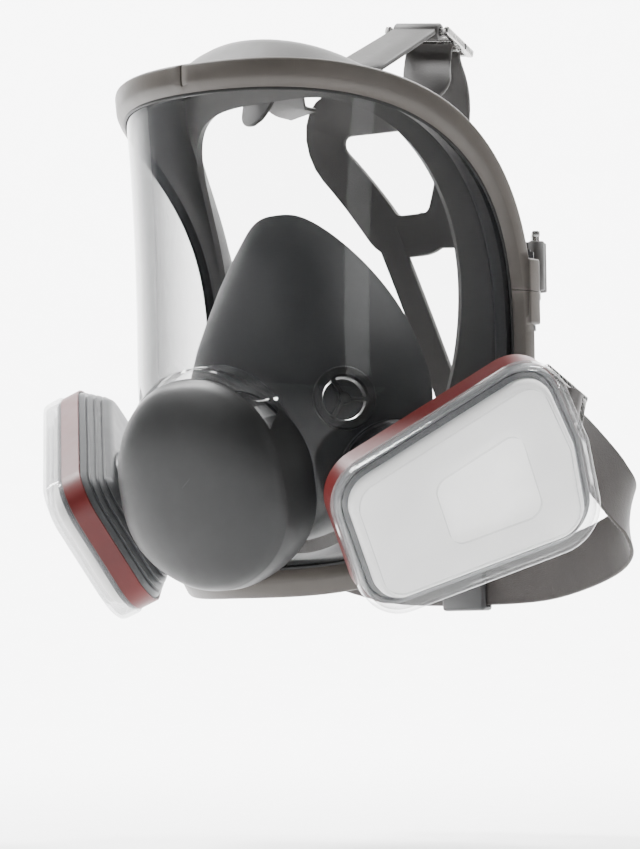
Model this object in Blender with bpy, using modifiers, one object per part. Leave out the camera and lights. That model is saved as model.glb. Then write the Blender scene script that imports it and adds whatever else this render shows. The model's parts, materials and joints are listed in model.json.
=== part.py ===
"""Full face respirator with two bayonet cartridges, a nose cup, a head harness and neck straps.

The origin is the middle of the face opening, where the wearer's face sits. The mask faces -Y, +Z is up
and +X is the wearer's left. Lengths are in millimetres, and MM turns them into Blender's metres.
"""

from math import atan2, cos, hypot, pi, radians, sin

import bmesh
import bpy
from mathutils import Matrix, Vector

MM = 0.001
GAP = 0.3
SIDES = {"left": 1, "right": -1}

# Lens: an upright shell whose plan is half an ellipse, narrowing towards the chin
LENS_HALF_WIDTH = 78
LENS_FRONT = 80.8
LENS_SIDE = 26
LENS_T = 2.2
CHIN_FROM_Z = -8
CHIN_SPAN = 90
CHIN_NARROWING = 24
CHIN_RECEDING = 30
RIM_CENTRE_Z = 3
RIM_HALF_HEIGHT = 96
RIM_EXPONENT = 3.5
RIM_STEPS = 60

# Frame: a band round the lens's rim, in two halves that meet at side lugs
BAND_OUT = 6.0
BAND_PROUD = 3.6
BAND_BACK = -9.0
SEAM_Z = 19.5
LUG_HALF_HEIGHT = 13
SCREW_R = 1.6

# Face opening, where the seal's lip meets the face
FACE_HALF_WIDTH = 59.5
FACE_TOP = 98
FACE_CHEEK_Z = 20
FACE_CHIN = -84
FACE_TEMPLE_Y = 11
FACE_FOREHEAD_BACK = 41
FACE_CHIN_BACK = 27
SEAL_T = 2.4
ROLL_RISE = 19

# Central adapter, through the lens's front collar, tilted down
ADAPTER_Z = -51
ADAPTER_TILT = radians(12)
COLLAR_R = 39.5
COLLAR_OUT = 1
COLLAR_BORE_R = 28
COVER_FRONT = 14
COVER_HALF_WIDTH = 41.5
COVER_TOP = 40
COVER_FOOT = 42

# Side ports: each one's place and the direction its axis points, for the wearer's left
PORT_AT = (59.4, -29.7, -55)
PORT_AZIMUTH = radians(63.2)
PORT_DOWN = radians(25.4)
PORT_BOSS_R = 22
PORT_BORE_R = 16.3
PORT_FACE = 4.5

# Cartridge: a rounded trapezoid, narrow end forward, its long axis rising to the back
CARTRIDGE_RISE = radians(28.3)
NARROW_END = -34
WIDE_END = 64
NARROW_HALF = 29.5
WIDE_HALF = 41
CORNER_R = 16
CARTRIDGE_BACK = 10
CARTRIDGE_FRONT = 31
RETAINER_FRONT = 39.5
WALL = 1.8

# Strap buckles for the wearer's left: the bar each one hangs from, the way its strap leaves, its outside
BUCKLES = {
    "top": ((46, 6, 124), (-0.22, 0.94, -0.24), (0.05, 0.25, 1)),
    "temple": ((75.5, 42, 31), (-0.6, 0.8, 0.06), (0.8, 0.6, 0)),
    "neck": ((78, 41, -21.5), (0.1, 0.85, -0.5), (0.97, -0.05, 0.2)),
}
RAIL_X = {"top": 12.6, "temple": 12.6, "neck": 13.7}
ROLLER_Y = 15.5
ROLLER_R = 2.2
STRAP_HALF = 10
NECK_HALF = 11.9
STRAP_T = 1.6
TAIL_LEAN = 7

COLOURS = {
    "clear": ((0.86, 0.89, 0.90), 0.06, 0.0),
    "taupe": ((0.27, 0.25, 0.23), 0.42, 0.0),
    "seal_grey": ((0.30, 0.30, 0.31), 0.55, 0.0),
    "cup_grey": ((0.09, 0.09, 0.10), 0.48, 0.0),
    "dark_plastic": ((0.06, 0.06, 0.065), 0.38, 0.0),
    "body_grey": ((0.22, 0.23, 0.24), 0.45, 0.0),
    "maroon": ((0.21, 0.035, 0.035), 0.5, 0.0),
    "pad_white": ((0.88, 0.88, 0.87), 0.9, 0.0),
    "valve_rubber": ((0.03, 0.03, 0.03), 0.5, 0.0),
    "carbon": ((0.02, 0.02, 0.02), 0.9, 0.0),
    "webbing": ((0.20, 0.18, 0.17), 0.7, 0.0),
    "steel": ((0.62, 0.61, 0.59), 0.28, 1.0),
}


# ---------------------------------------------------------------- scene and shape helpers


def start_scene():
    """An empty scene with one collection for the parts and one for the cutters."""
    for obj in list(bpy.data.objects):
        bpy.data.objects.remove(obj, do_unlink=True)
    for name in ("full_face_respirator", "cutters"):
        bpy.context.scene.collection.children.link(bpy.data.collections.new(name))


def material(slot):
    """The Principled material of this slot, made on first use."""
    found = bpy.data.materials.get(slot)
    if found:
        return found
    colour, roughness, metallic = COLOURS[slot]
    made = bpy.data.materials.new(slot)
    made.use_nodes = True
    shader = made.node_tree.nodes["Principled BSDF"]
    shader.inputs["Base Color"].default_value = (*colour, 1)
    shader.inputs["Roughness"].default_value = roughness
    shader.inputs["Metallic"].default_value = metallic
    if slot == "clear":
        shader.inputs["Alpha"].default_value = 0.3
    return made


def adopt(obj, name, slot=None):
    """Names the object and moves it to the parts, or to the cutters when it has no slot."""
    obj.name = name
    for old in list(obj.users_collection):
        old.objects.unlink(obj)
    bpy.data.collections["full_face_respirator" if slot else "cutters"].objects.link(obj)
    obj.data.materials.clear()
    if slot:
        obj.data.materials.append(material(slot))
        return obj
    obj.hide_render = True
    obj.display_type = "WIRE"
    return obj


def evaluated_mesh(obj):
    """The object's mesh with its modifiers applied."""
    graph = bpy.context.evaluated_depsgraph_get()
    return bpy.data.meshes.new_from_object(obj.evaluated_get(graph))


def apply_modifiers(obj):
    """Swaps a mesh object's mesh for its evaluated one."""
    mesh = evaluated_mesh(obj)
    obj.modifiers.clear()
    obj.data = mesh


def combine(obj, others, operation):
    """Unites the object with the others, or cuts them from it, and removes them."""
    for other in others:
        boolean = obj.modifiers.new(operation.lower(), "BOOLEAN")
        boolean.operation = operation
        boolean.solver = "EXACT"
        boolean.object = other
    apply_modifiers(obj)
    for other in others:
        bpy.data.objects.remove(other, do_unlink=True)
    return obj


def face_out(mesh):
    """Turns every face of a closed mesh outwards."""
    work = bmesh.new()
    work.from_mesh(mesh)
    bmesh.ops.recalc_face_normals(work, faces=work.faces)
    work.to_mesh(mesh)
    work.free()


def place(obj, matrix):
    """Bakes a placement, in millimetres, into the mesh."""
    obj.data.transform(matrix)
    return obj


def ring(name, point, major, minor, slot=None):
    """A closed loop of closed sections: point(i, j) gives section point j at place i round the loop."""
    bpy.ops.mesh.primitive_torus_add(
        major_segments=major, minor_segments=minor, major_radius=1, minor_radius=0.2
    )
    obj = adopt(bpy.context.object, name, slot)
    for index, vertex in enumerate(obj.data.vertices):
        vertex.co = Vector(point(*divmod(index, minor))) * MM
    face_out(obj.data)
    obj.data.shade_smooth()
    return obj


def bowl(name, point, around, slot=None, rings=10):
    """A closed cup: point(k, i) for k from 0, the middle of the outside, over the rim, to rings, the
    middle of the inside, and for i round it."""
    bpy.ops.mesh.primitive_uv_sphere_add(segments=around, ring_count=rings, radius=1)
    obj = adopt(bpy.context.object, name, slot)
    for vertex in obj.data.vertices:
        level = round(vertex.co.angle(Vector((0, 0, 1))) / pi * rings)
        index = round(atan2(vertex.co.y, vertex.co.x) / (2 * pi) * around) % around
        vertex.co = Vector(point(level, index)) * MM
    face_out(obj.data)
    obj.data.shade_smooth()
    return obj


def sheet(name, point, columns, rows, thickness, slot=None):
    """A thickened sheet: point(u, v) for u and v from -1 to 1, the thickness growing inwards."""
    bpy.ops.mesh.primitive_grid_add(x_subdivisions=columns, y_subdivisions=rows, size=2)
    obj = adopt(bpy.context.object, name, slot)
    for vertex in obj.data.vertices:
        vertex.co = Vector(point(vertex.co.x, vertex.co.y)) * MM
    solidify = obj.modifiers.new("thickness", "SOLIDIFY")
    solidify.thickness = thickness * MM
    solidify.offset = -1
    solidify.use_even_offset = True
    obj.modifiers.new("flat faces", "TRIANGULATE")
    apply_modifiers(obj)
    face_out(obj.data)
    obj.data.shade_smooth()
    return obj


def smooth_path(points, steps):
    """Points along a Catmull-Rom curve through the given ones."""
    last = len(points) - 1
    path = []
    for index in range(last):
        a, b, c, d = (Vector(points[max(0, min(last, index + k))]) for k in (-1, 0, 1, 2))
        for step in range(steps):
            t = step / steps
            bend = (2 * a - 5 * b + 4 * c - d) * t**2 + (3 * (b - c) + d - a) * t**3
            path.append(b + ((c - a) * t + bend) / 2)
    return [*path, Vector(points[last])]


def ribbon(name, route, half_width, slot=None, steps=3, thickness=STRAP_T):
    """A strap along a route of (point, across) pairs, its across directions as long as wanted."""
    path = smooth_path([point for point, _ in route], steps)
    across = [direction.normalized() for direction in smooth_path([way for _, way in route], steps)]
    columns = len(path) - 1

    def point(u, v):
        index = round((u + 1) / 2 * columns)
        along = path[min(index + 1, columns)] - path[max(index - 1, 0)]
        side = (across[index] - across[index].project(along)).normalized()
        face = along.cross(side).normalized()
        return path[index] + side * v * half_width + face * thickness / 2

    return sheet(name, point, columns, 1, thickness, slot)


def turned(name, profile, matrix, slot=None, steps=24):
    """A solid turned about the local Z axis from (radius, height) points, closed into a ring
    unless the profile starts and ends on the axis."""
    work = bmesh.new()
    points = [work.verts.new((r * MM, 0, h * MM)) for r, h in profile]
    for a, b in zip(points, points[1:]):
        work.edges.new((a, b))
    if profile[0][0] > 0:
        work.edges.new((points[-1], points[0]))
    mesh = bpy.data.meshes.new(name)
    work.to_mesh(mesh)
    work.free()
    obj = adopt(bpy.data.objects.new(name, mesh), name, slot)
    screw = obj.modifiers.new("turn", "SCREW")
    screw.steps = screw.render_steps = steps
    screw.use_merge_vertices = True
    screw.merge_threshold = 0.00001
    apply_modifiers(obj)
    face_out(obj.data)
    obj.data.shade_smooth()
    obj.data.set_sharp_from_angle(angle=radians(35))
    return place(obj, matrix)


def tube_ring(name, inner, outer, low, high, matrix, slot=None, steps=24):
    """A plain turned ring."""
    profile = [(outer, high), (outer, low), (inner, low), (inner, high)]
    return turned(name, profile, matrix, slot, steps)


def disc(name, radius, low, high, matrix, slot=None, steps=24):
    """A plain turned disc."""
    return turned(name, [(0, high), (radius, high), (radius, low), (0, low)], matrix, slot, steps)


def box(name, size, at, matrix, slot=None):
    """A box of this size round the point at."""
    bpy.ops.mesh.primitive_cube_add(size=1)
    obj = adopt(bpy.context.object, name, slot)
    obj.data.transform(Matrix.Translation(Vector(at) * MM) @ Matrix.Diagonal((*(Vector(size) * MM), 1)))
    return place(obj, matrix)


def extruded(name, outline, low, high, matrix, slot=None, bevel=0):
    """A flat outline given depth from low to high along the local Z axis."""
    curve = bpy.data.curves.new(name, "CURVE")
    curve.dimensions = "2D"
    curve.fill_mode = "BOTH"
    curve.extrude = (high - low) / 2 * MM
    line = curve.splines.new("POLY")
    line.points.add(len(outline) - 1)
    for point, (x, y) in zip(line.points, outline):
        point.co = (x * MM, y * MM, 0, 1)
    line.use_cyclic_u = True
    flat = bpy.data.objects.new(name, curve)
    bpy.context.scene.collection.objects.link(flat)
    mesh = evaluated_mesh(flat)
    bpy.data.objects.remove(flat, do_unlink=True)
    work = bmesh.new()
    work.from_mesh(mesh)
    bmesh.ops.remove_doubles(work, verts=work.verts, dist=0.00001)
    bmesh.ops.dissolve_limit(work, angle_limit=0.001, verts=work.verts, edges=work.edges)
    work.to_mesh(mesh)
    work.free()
    mesh.transform(Matrix.Translation((0, 0, (high + low) / 2 * MM)))
    obj = adopt(bpy.data.objects.new(name, mesh), name, slot)
    if bevel:
        edge = obj.modifiers.new("edges", "BEVEL")
        edge.width = bevel * MM
        edge.segments = 2
        edge.limit_method = "ANGLE"
        edge.angle_limit = radians(60)
        apply_modifiers(obj)
    face_out(obj.data)
    return place(obj, matrix)


def frame_matrix(origin, x_axis, z_axis):
    """The placement whose local X and Z axes point these ways, with its origin in millimetres."""
    z = Vector(z_axis).normalized()
    x = (Vector(x_axis) - Vector(x_axis).dot(z) * z).normalized()
    rotation = Matrix((x, z.cross(x), z)).transposed()
    return Matrix.Translation(Vector(origin) * MM) @ rotation.to_4x4()


def power(value, exponent):
    """The signed power that turns a circle into a superellipse."""
    return (1 if value >= 0 else -1) * abs(value) ** exponent


def squarish(turn, exponent):
    """A point on a superellipse of half width and half height 1, at this part of a turn."""
    across, height = cos(2 * pi * turn), sin(2 * pi * turn)
    reach = (abs(across) ** exponent + abs(height) ** exponent) ** (-1 / exponent)
    return across * reach, height * reach


def rounded(corners, radius, arc_steps=4):
    """A polygon of (x, y) corners, anticlockwise, with each corner an arc of this radius."""
    outline = []
    count = len(corners)
    for index, corner in enumerate(corners):
        here = Vector(corner)
        before = (Vector(corners[index - 1]) - here).normalized()
        after = (Vector(corners[(index + 1) % count]) - here).normalized()
        half = before.angle(after) / 2
        centre = here + (before + after).normalized() * radius / sin(half)
        start = here + before * radius * cos(half) / sin(half) - centre
        sweep = pi - 2 * half
        first = atan2(start.y, start.x)
        for step in range(arc_steps + 1):
            angle = first + sweep * step / arc_steps
            outline.append((centre.x + radius * cos(angle), centre.y + radius * sin(angle)))
    return outline


# ---------------------------------------------------------------- the lens's surface and rim


def chin(z):
    """0 above the chin's start and 1 at the lens's foot, growing smoothly."""
    return (max(0, CHIN_FROM_Z - z) / CHIN_SPAN) ** 2


def lens_point(angle, z):
    """The lens's outer surface, at an angle round from the front and a height."""
    half_width = LENS_HALF_WIDTH - CHIN_NARROWING * chin(z)
    front = LENS_FRONT - CHIN_RECEDING * chin(z)
    side = LENS_SIDE - (21 if z > 0 else 16) * (z / 95) ** 2
    return Vector((half_width * sin(angle), side - (side + front) * cos(angle), z))


def lens_normal(angle, z):
    """The outward normal of the lens's surface."""
    step = 0.01
    along = lens_point(angle + step, z) - lens_point(angle - step, z)
    up = lens_point(angle, z + 50 * step) - lens_point(angle, z - 50 * step)
    return along.cross(up).normalized()


def rim_place(turn):
    """The rim's angle and height at this part of a turn round it, starting at the left side."""
    across, height = squarish(turn, RIM_EXPONENT)
    return across * pi / 2, RIM_CENTRE_Z + RIM_HALF_HEIGHT * height


def rim_frame(turn):
    """The rim's point, the direction out of the lens in its surface, and the surface's normal."""
    here = lens_point(*rim_place(turn))
    along = lens_point(*rim_place(turn + 0.004)) - lens_point(*rim_place(turn - 0.004))
    normal = lens_normal(*rim_place(turn))
    outward = along.cross(normal).normalized()
    return here, outward, normal


def rim_sweep(name, section, slot=None, steps=RIM_STEPS):
    """A loop round the rim with this section of (outward, proud) points."""

    def point(i, j):
        here, outward, normal = rim_frame(i / steps)
        out, proud = section[j]
        return here + outward * out + normal * proud

    return ring(name, point, steps, len(section), slot)


def face_point(turn):
    """The edge of the face opening: squarer at the forehead, rounder and narrower at the chin."""
    across, height = cos(2 * pi * turn), sin(2 * pi * turn)
    if height > 0:
        across, rise = squarish(turn, 3.45)
        depth = FACE_TEMPLE_Y - FACE_FOREHEAD_BACK * rise**2
        return Vector((FACE_HALF_WIDTH * across, depth, FACE_CHEEK_Z + (FACE_TOP - FACE_CHEEK_Z) * rise))
    drop = (FACE_CHIN - FACE_CHEEK_Z) * abs(height)
    depth = FACE_TEMPLE_Y - FACE_CHIN_BACK * height**2
    return Vector((FACE_HALF_WIDTH * power(across, 0.9), depth, FACE_CHEEK_Z + drop))


def adapter_frame():
    """The central adapter's axes: local Z points out of the front of the mask."""
    axis = (0, -cos(ADAPTER_TILT), -sin(ADAPTER_TILT))
    return frame_matrix(lens_point(0, ADAPTER_Z), (1, 0, 0), axis)


def port_frame(side):
    """A side port's axes: local Z points out along the port, and local X along the cartridge's
    length towards its wide end."""
    x, y, z = PORT_AT
    across, ahead = sin(PORT_AZIMUTH) * cos(PORT_DOWN), cos(PORT_AZIMUTH) * cos(PORT_DOWN)
    axis = Vector((side * across, -ahead, -sin(PORT_DOWN)))
    level = Vector((side * cos(PORT_AZIMUTH), sin(PORT_AZIMUTH), 0))
    rise = axis.cross(level) * (1 if axis.cross(level).z > 0 else -1)
    length = level * cos(CARTRIDGE_RISE) + rise * sin(CARTRIDGE_RISE)
    return frame_matrix((side * x, y, z), length, axis)


# ---------------------------------------------------------------- lens and frame


def lens():
    """The clear lens, with its front collar and side bosses bored through."""

    def point(a, b):
        across = a * (1 - abs(b) ** RIM_EXPONENT / 2) ** (1 / RIM_EXPONENT)
        height = b * (1 - abs(a) ** RIM_EXPONENT / 2) ** (1 / RIM_EXPONENT)
        return lens_point(across * pi / 2, RIM_CENTRE_Z + RIM_HALF_HEIGHT * height)

    shell = sheet("lens", point, 24, 18, LENS_T, "clear")
    bosses = [disc("collar", COLLAR_R, -14, COLLAR_OUT, adapter_frame(), steps=32)]
    bores = [disc("bore", COLLAR_BORE_R, -40, 40, adapter_frame(), steps=32)]
    for side in SIDES.values():
        bosses.append(disc("boss", PORT_BOSS_R, -8, PORT_FACE, port_frame(side)))
        bores.append(disc("bore", PORT_BORE_R, -30, 30, port_frame(side)))
    combine(shell, bosses, "UNION")
    return combine(shell, bores, "DIFFERENCE")


def frame_halves():
    """The upper and lower frame, cut from one band with a lug on each side."""
    section = [
        (-5, 0.5),
        (-5, 1.3),
        (-1.5, BAND_PROUD),
        (BAND_OUT - 1, BAND_PROUD),
        (BAND_OUT, BAND_PROUD - 1),
        (BAND_OUT, BAND_BACK),
        (2.4, BAND_BACK),
        (2.4, 0.5),
    ]
    band = rim_sweep("band", section, "taupe")
    lugs = [box("lug", (8, 7, 2 * LUG_HALF_HEIGHT), (0, 0, 0), lug_frame(side)) for side in SIDES.values()]
    combine(band, lugs, "UNION")
    holes = []
    for side in SIDES.values():
        holes.append(disc("hole", SCREW_R + GAP, -40, 40, lug_frame(side), steps=12))
        foot = -LUG_HALF_HEIGHT
        holes.append(disc("head_room", 3.6, foot - 4, foot, lug_frame(side), steps=12))
        holes.append(disc("nut_room", 3.6, LUG_HALF_HEIGHT, LUG_HALF_HEIGHT + 4, lug_frame(side), steps=12))
    combine(band, holes, "DIFFERENCE")
    for name, low, high in (
        ("upper_frame", SEAM_Z + GAP / 2, SEAM_Z + 200),
        ("lower_frame", SEAM_Z - 200, SEAM_Z - GAP / 2),
    ):
        half = adopt(bpy.data.objects.new(name, band.data.copy()), name, "taupe")
        slab = box("slab", (400, 400, high - low), (0, 0, (low + high) / 2), Matrix())
        combine(half, [slab], "INTERSECT")
    bpy.data.objects.remove(band, do_unlink=True)


def lug_frame(side):
    """A side lug's axes: local X points out, local Z up along the screw."""
    here = lens_point(pi / 2, SEAM_Z)
    return Matrix.Translation(Vector((side * (here.x + 0.5), here.y + BAND_OUT, SEAM_Z)) * MM)


def frame_screws():
    """The screw and nut that clamp each side's lugs, head below and nut above."""
    for name, side in SIDES.items():
        head_top = -LUG_HALF_HEIGHT - GAP
        nut_low = LUG_HALF_HEIGHT + GAP
        profile = [
            (0, nut_low + 3.4),
            (SCREW_R, nut_low + 3.4),
            (SCREW_R, head_top),
            (3.2, head_top),
            (3.2, head_top - 2.2),
            (0, head_top - 2.2),
        ]
        turned(f"frame_screw_{name}", profile, lug_frame(side), "steel", 12)
        lug = lug_frame(side)
        tube_ring(f"frame_nut_{name}", SCREW_R + GAP, 3.2, nut_low, nut_low + 2.4, lug, "steel", 6)


# ---------------------------------------------------------------- seal and nose cup


def seal_path(turn):
    """The seal's outer side, from its bead behind the lens, round its roll, to the face opening."""
    here, outward, normal = rim_frame(turn)
    opening = face_point(turn)
    top = max(0, sin(2 * pi * turn)) ** 3
    bead = here + outward * 1.2 - normal * 3.2
    heel = here + outward * 1.2 - normal * (GAP - BAND_BACK + 0.8)
    slope = heel.lerp(opening, 0.3) + Vector((0, 3 - top, ROLL_RISE * 0.75 * top))
    roll = heel.lerp(opening, 0.66) + Vector((0, 3 - 5 * top, ROLL_RISE * top))
    return [bead, heel, slope, roll, opening]


def seal_section(turn):
    """A closed section: out along the seal's outer side and back along its inner side."""
    outer = seal_path(turn)
    ahead, behind = seal_path(turn + 0.004), seal_path(turn - 0.004)
    here, outward, normal = rim_frame(turn)
    inner = [here - outward * 4.5 - normal * 3.2, here - outward * 3.5 - normal * 9.0]
    for index in (2, 3, 4):
        way = outer[min(index + 1, 4)] - outer[index - 1]
        through = (ahead[index] - behind[index]).cross(way).normalized()
        inner.append(outer[index] + through * SEAL_T)
    return outer + inner[::-1]


def strap_tab(kind, side, root, bend, root_half):
    """A tab that curves and tapers from the seal to the knuckle round a buckle's bar."""
    frame = buckle_frame(kind, side)
    across = frame.to_3x3() @ Vector((1, 0, 0))
    start = Vector((side * root[0], root[1], root[2]))
    middle = Vector((side * bend[0], bend[1], bend[2]))
    end = frame @ (Vector((0, -2.2, 0)) * MM) / MM
    rise = frame.to_3x3() @ Vector((0, 0, 1))

    def point(u, v):
        part = (u + 1) / 2
        half = root_half + (9.5 - root_half) * part
        here = start.lerp(middle, part).lerp(middle.lerp(end, part), part)
        return here + across * v * half + rise * 1.4

    tab = sheet("tab", point, 5, 1, 2.8)
    turn = frame @ Matrix.Rotation(pi / 2, 4, "Y")
    combine(tab, [disc("knuckle", 3.3, -9.8, 9.8, turn, steps=12)], "UNION")
    return combine(tab, [disc("pin_hole", 1.8, -20, 20, turn, steps=12)], "DIFFERENCE")


def face_seal():
    """The soft seal between the frame and the face, with the tabs that its straps start from."""
    steps = 44
    sections = [seal_section(i / steps) for i in range(steps)]
    seal = ring("face_seal", lambda i, j: sections[i][j], steps, 10, "seal_grey")
    roots = {
        "top": ((43, -31, 104.5), (45, -12, 115), 11),
        "temple": ((62.5, 21.5, 31), (63.5, 38, 31), 10),
        "neck": ((62.5, 19.5, -10), (57, 45, -12), 7.5),
    }
    pieces = []
    for kind, way in roots.items():
        for side in SIDES.values():
            pieces.append(strap_tab(kind, side, *way))
    return combine(seal, pieces, "UNION")


def cup_edge(turn):
    """Where the nose cup meets the face: over the nose, past the cheeks and under the chin."""
    across, height = cos(2 * pi * turn), sin(2 * pi * turn)
    if height > 0:
        across = power(across, 0.7)
        return Vector((50 * across * (1 - 0.35 * height**3), 6 - 34 * height**1.3, -20 + 72 * height))
    return Vector((50 * across, 6 - 26 * height**2, -20 + 57 * height))


def cup_path(turn):
    """The nose cup's outer side, from its neck on the adapter to the face."""
    matrix = adapter_frame()
    across, height = cos(2 * pi * turn), sin(2 * pi * turn)
    neck = [
        matrix @ (Vector((27.5 * across, 27.5 * height, -depth)) * MM) / MM for depth in (24, 31)
    ]
    edge = cup_edge(turn)
    shoulder = neck[1].lerp(edge, 0.36) + Vector((9 * across, -5, 2 * height))
    brow = neck[1].lerp(edge, 0.75) + Vector((4 * across, -5, 1 * height))
    return [*neck, shoulder, brow, edge]


def nose_cup():
    """The inner mask over the nose and mouth, with a hole for each valve seat."""
    steps = 36
    path = [cup_path(i / steps) for i in range(steps)]
    middle = Vector((0, -30, -27))

    def point(i, j):
        if j < 5:
            return path[i][j]
        outer = path[i][9 - j]
        if 9 - j < 2:
            axis = adapter_frame() @ (Vector((0, 0, -24 - 7 * (9 - j))) * MM) / MM
            return outer + (axis - outer).normalized() * 2
        return outer + (middle - outer).normalized() * 2 + Vector((0, 1.2, 0))

    cup = ring("nose_cup", point, steps, 10, "cup_grey")
    holes = [disc("hole", 10.8, -12, 12, cup_valve_frame(side)) for side in SIDES.values()]
    return combine(cup, holes, "DIFFERENCE")


def cup_valve_frame(side):
    """A nose-cup valve's axes: local Z points out of the cup."""
    return frame_matrix((side * 38, -36, -24), (0, 0, 1), (side * 0.78, -0.6, 0.14))


def nose_cup_valves():
    """The seat and flap on each side of the nose cup, that let air in from the lens's space."""
    for name, side in SIDES.items():
        frame = cup_valve_frame(side)
        seat = turned(
            f"nose_cup_valve_seat_{name}",
            [(12.5, 5), (12.5, 3.2), (10.4, 3.2), (10.4, -6), (8.6, -6), (8.6, 5)],
            frame,
            "valve_rubber",
            20,
        )
        turns = [frame @ Matrix.Rotation(turn, 4, "Z") for turn in (0.3, 1.9)]
        spokes = [box("spoke", (18, 2, 1.6), (0, 0, 3.2), turned_frame) for turned_frame in turns]
        combine(seat, spokes, "UNION")
        disc(f"nose_cup_valve_flap_{name}", 8.0, 0.6, 1.4, frame, "valve_rubber", 16)


# ---------------------------------------------------------------- central adapter


def central_adapter():
    """The adapter through the lens's collar: its front plate is the exhalation valve's seat."""
    frame = adapter_frame()
    low = COLLAR_OUT + 2
    top = low + 2.4
    profile = [
        (30, top),
        (30, low),
        (COLLAR_BORE_R - GAP, low),
        (COLLAR_BORE_R - GAP, -22),
        (25, -22),
        (25, -32),
        (22.5, -32),
        (22.5, low - 1),
        (5, low - 1),
        (5, top),
    ]
    adapter = turned("central_adapter", profile, frame, "dark_plastic", 28)
    holes = []
    for index in range(6):
        turn = Matrix.Rotation(index * pi / 3, 4, "Z")
        holes.append(disc("hole", 4.6, -10, 20, frame @ turn @ Matrix.Translation((0.012, 0, 0)), steps=10))
    combine(adapter, holes, "DIFFERENCE")
    tube_ring(
        "central_adapter_gasket", COLLAR_BORE_R + 0.5, 29.8, COLLAR_OUT + GAP, low - GAP, frame, "valve_rubber"
    )


def exhalation_valve():
    """The rubber flap on the adapter's front plate, its stem snapped through the middle."""
    low = COLLAR_OUT + 2 + 2.4 + GAP
    profile = [(0, low + 1.6), (6, low + 1.6), (18, low + 0.8), (18, low)]
    profile += [(4.6, low), (4.6, low - 5), (0, low - 5)]
    turned("exhalation_valve", profile, adapter_frame(), "valve_rubber", 20)


def cover_edge(angle):
    """The exhalation cover's outline at this angle: a shield, widest above its middle, flat below."""
    across, height = cos(angle), sin(angle)
    if height >= 0:
        return Vector((COVER_HALF_WIDTH * power(across, 0.95), COVER_TOP * height))
    narrowing = 1 - 0.26 * height**2
    return Vector((COVER_HALF_WIDTH * power(across, 0.85) * narrowing, COVER_FOOT * -power(-height, 0.66)))


def exhalation_cover():
    """The smooth shield over the exhalation valve: a domed front, with a wall going back round it
    that reaches furthest at the sides, where the lens curves away."""
    frame = adapter_frame()
    levels = ((0, 0), (0.45, 0.8), (0.75, 3.4), (0.93, 7.4), (1, 11.5))

    def point(k, i):
        angle = i * pi / 16
        edge = cover_edge(angle)
        back = COVER_FRONT - 17 - 11 * cos(angle) ** 2
        if k < 5:
            size, drop = levels[k]
            return frame @ (Vector((edge.x * size, edge.y * size - 4, COVER_FRONT - drop)) * MM) / MM
        if k == 5:
            return frame @ (Vector((edge.x * 1.02, edge.y * 1.02 - 4, back)) * MM) / MM
        size, drop = levels[10 - k] if k > 6 else (1.02, COVER_FRONT - back - 2)
        inner = 1 - 2 / COVER_HALF_WIDTH
        inside = Vector((edge.x * size * inner, edge.y * size * inner - 4, COVER_FRONT - drop - 2))
        return frame @ (inside * MM) / MM

    cover = bowl("exhalation_cover", point, 32, "dark_plastic")
    clip = tube_ring("clip", 31.6, 33.4, 2, COVER_FRONT - 4.8, frame, steps=24)
    combine(clip, [box("dome_room", (80, 40, 20), (0, 20, COVER_FRONT - 7.7 + 10), frame)], "DIFFERENCE")
    combine(cover, [clip], "UNION")
    collar_room = disc("collar_room", COLLAR_R + GAP, -60, COLLAR_OUT + GAP, frame, steps=32)
    return combine(cover, [collar_room], "DIFFERENCE")


# ---------------------------------------------------------------- side ports and cartridges


def inhalation_ports():
    """On each side: the bayonet port through the lens, its lock ring, gasket and valve flap."""
    flange = PORT_FACE + GAP
    profile = [
        (15.6, CARTRIDGE_BACK + 5.2),
        (15.6, flange + 2.2),
        (20, flange + 2.2),
        (20, flange),
        (PORT_BORE_R - GAP, flange),
        (PORT_BORE_R - GAP, -12),
        (11.5, -12),
        (11.5, -6),
        (3, -6),
        (3, -4.6),
        (13.4, -4.6),
        (13.4, CARTRIDGE_BACK + 5.2),
    ]
    for name, side in SIDES.items():
        frame = port_frame(side)
        port = turned(f"inhalation_port_{name}", profile, frame, "dark_plastic")
        holes = []
        lugs = []
        for index in range(6):
            turn = Matrix.Rotation(index * pi / 3, 4, "Z")
            off_axis = frame @ turn @ Matrix.Translation((7.3 * MM, 0, 0))
            holes.append(disc("hole", 2.9, -10, -2, off_axis, steps=8))
            if index % 2:
                continue
            lugs.append(box("lug", (3, 7, 1.6), (16.6, 0, CARTRIDGE_BACK + 4.2), frame @ turn))
        combine(port, holes, "DIFFERENCE")
        combine(port, lugs, "UNION")
        tube_ring(f"port_lock_ring_{name}", PORT_BORE_R, 20, -11.6, -8.2, frame, "dark_plastic")
        tube_ring(f"port_gasket_{name}", 15.9, 19.5, flange + 2.5, CARTRIDGE_BACK - GAP, frame, "valve_rubber")
        disc(f"inhalation_valve_{name}", 10.6, -7.2, -6.3, frame, "valve_rubber", 20)


def cartridge_outline(grow=0, bow=4):
    """The cartridge's rounded trapezoid, wide end at +X and a little bowed, grown by this much."""
    slope = atan2(WIDE_HALF - NARROW_HALF, WIDE_END - NARROW_END)
    out = grow / cos(slope)
    drop = grow * sin(slope) / cos(slope)
    corners = [
        (NARROW_END - grow, -(NARROW_HALF + out - drop)),
        (WIDE_END + grow - bow, -(WIDE_HALF + out + drop)),
        (WIDE_END + grow, 0),
        (WIDE_END + grow - bow, WIDE_HALF + out + drop),
        (NARROW_END - grow, NARROW_HALF + out - drop),
    ]
    return rounded(corners, CORNER_R + grow)


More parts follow.
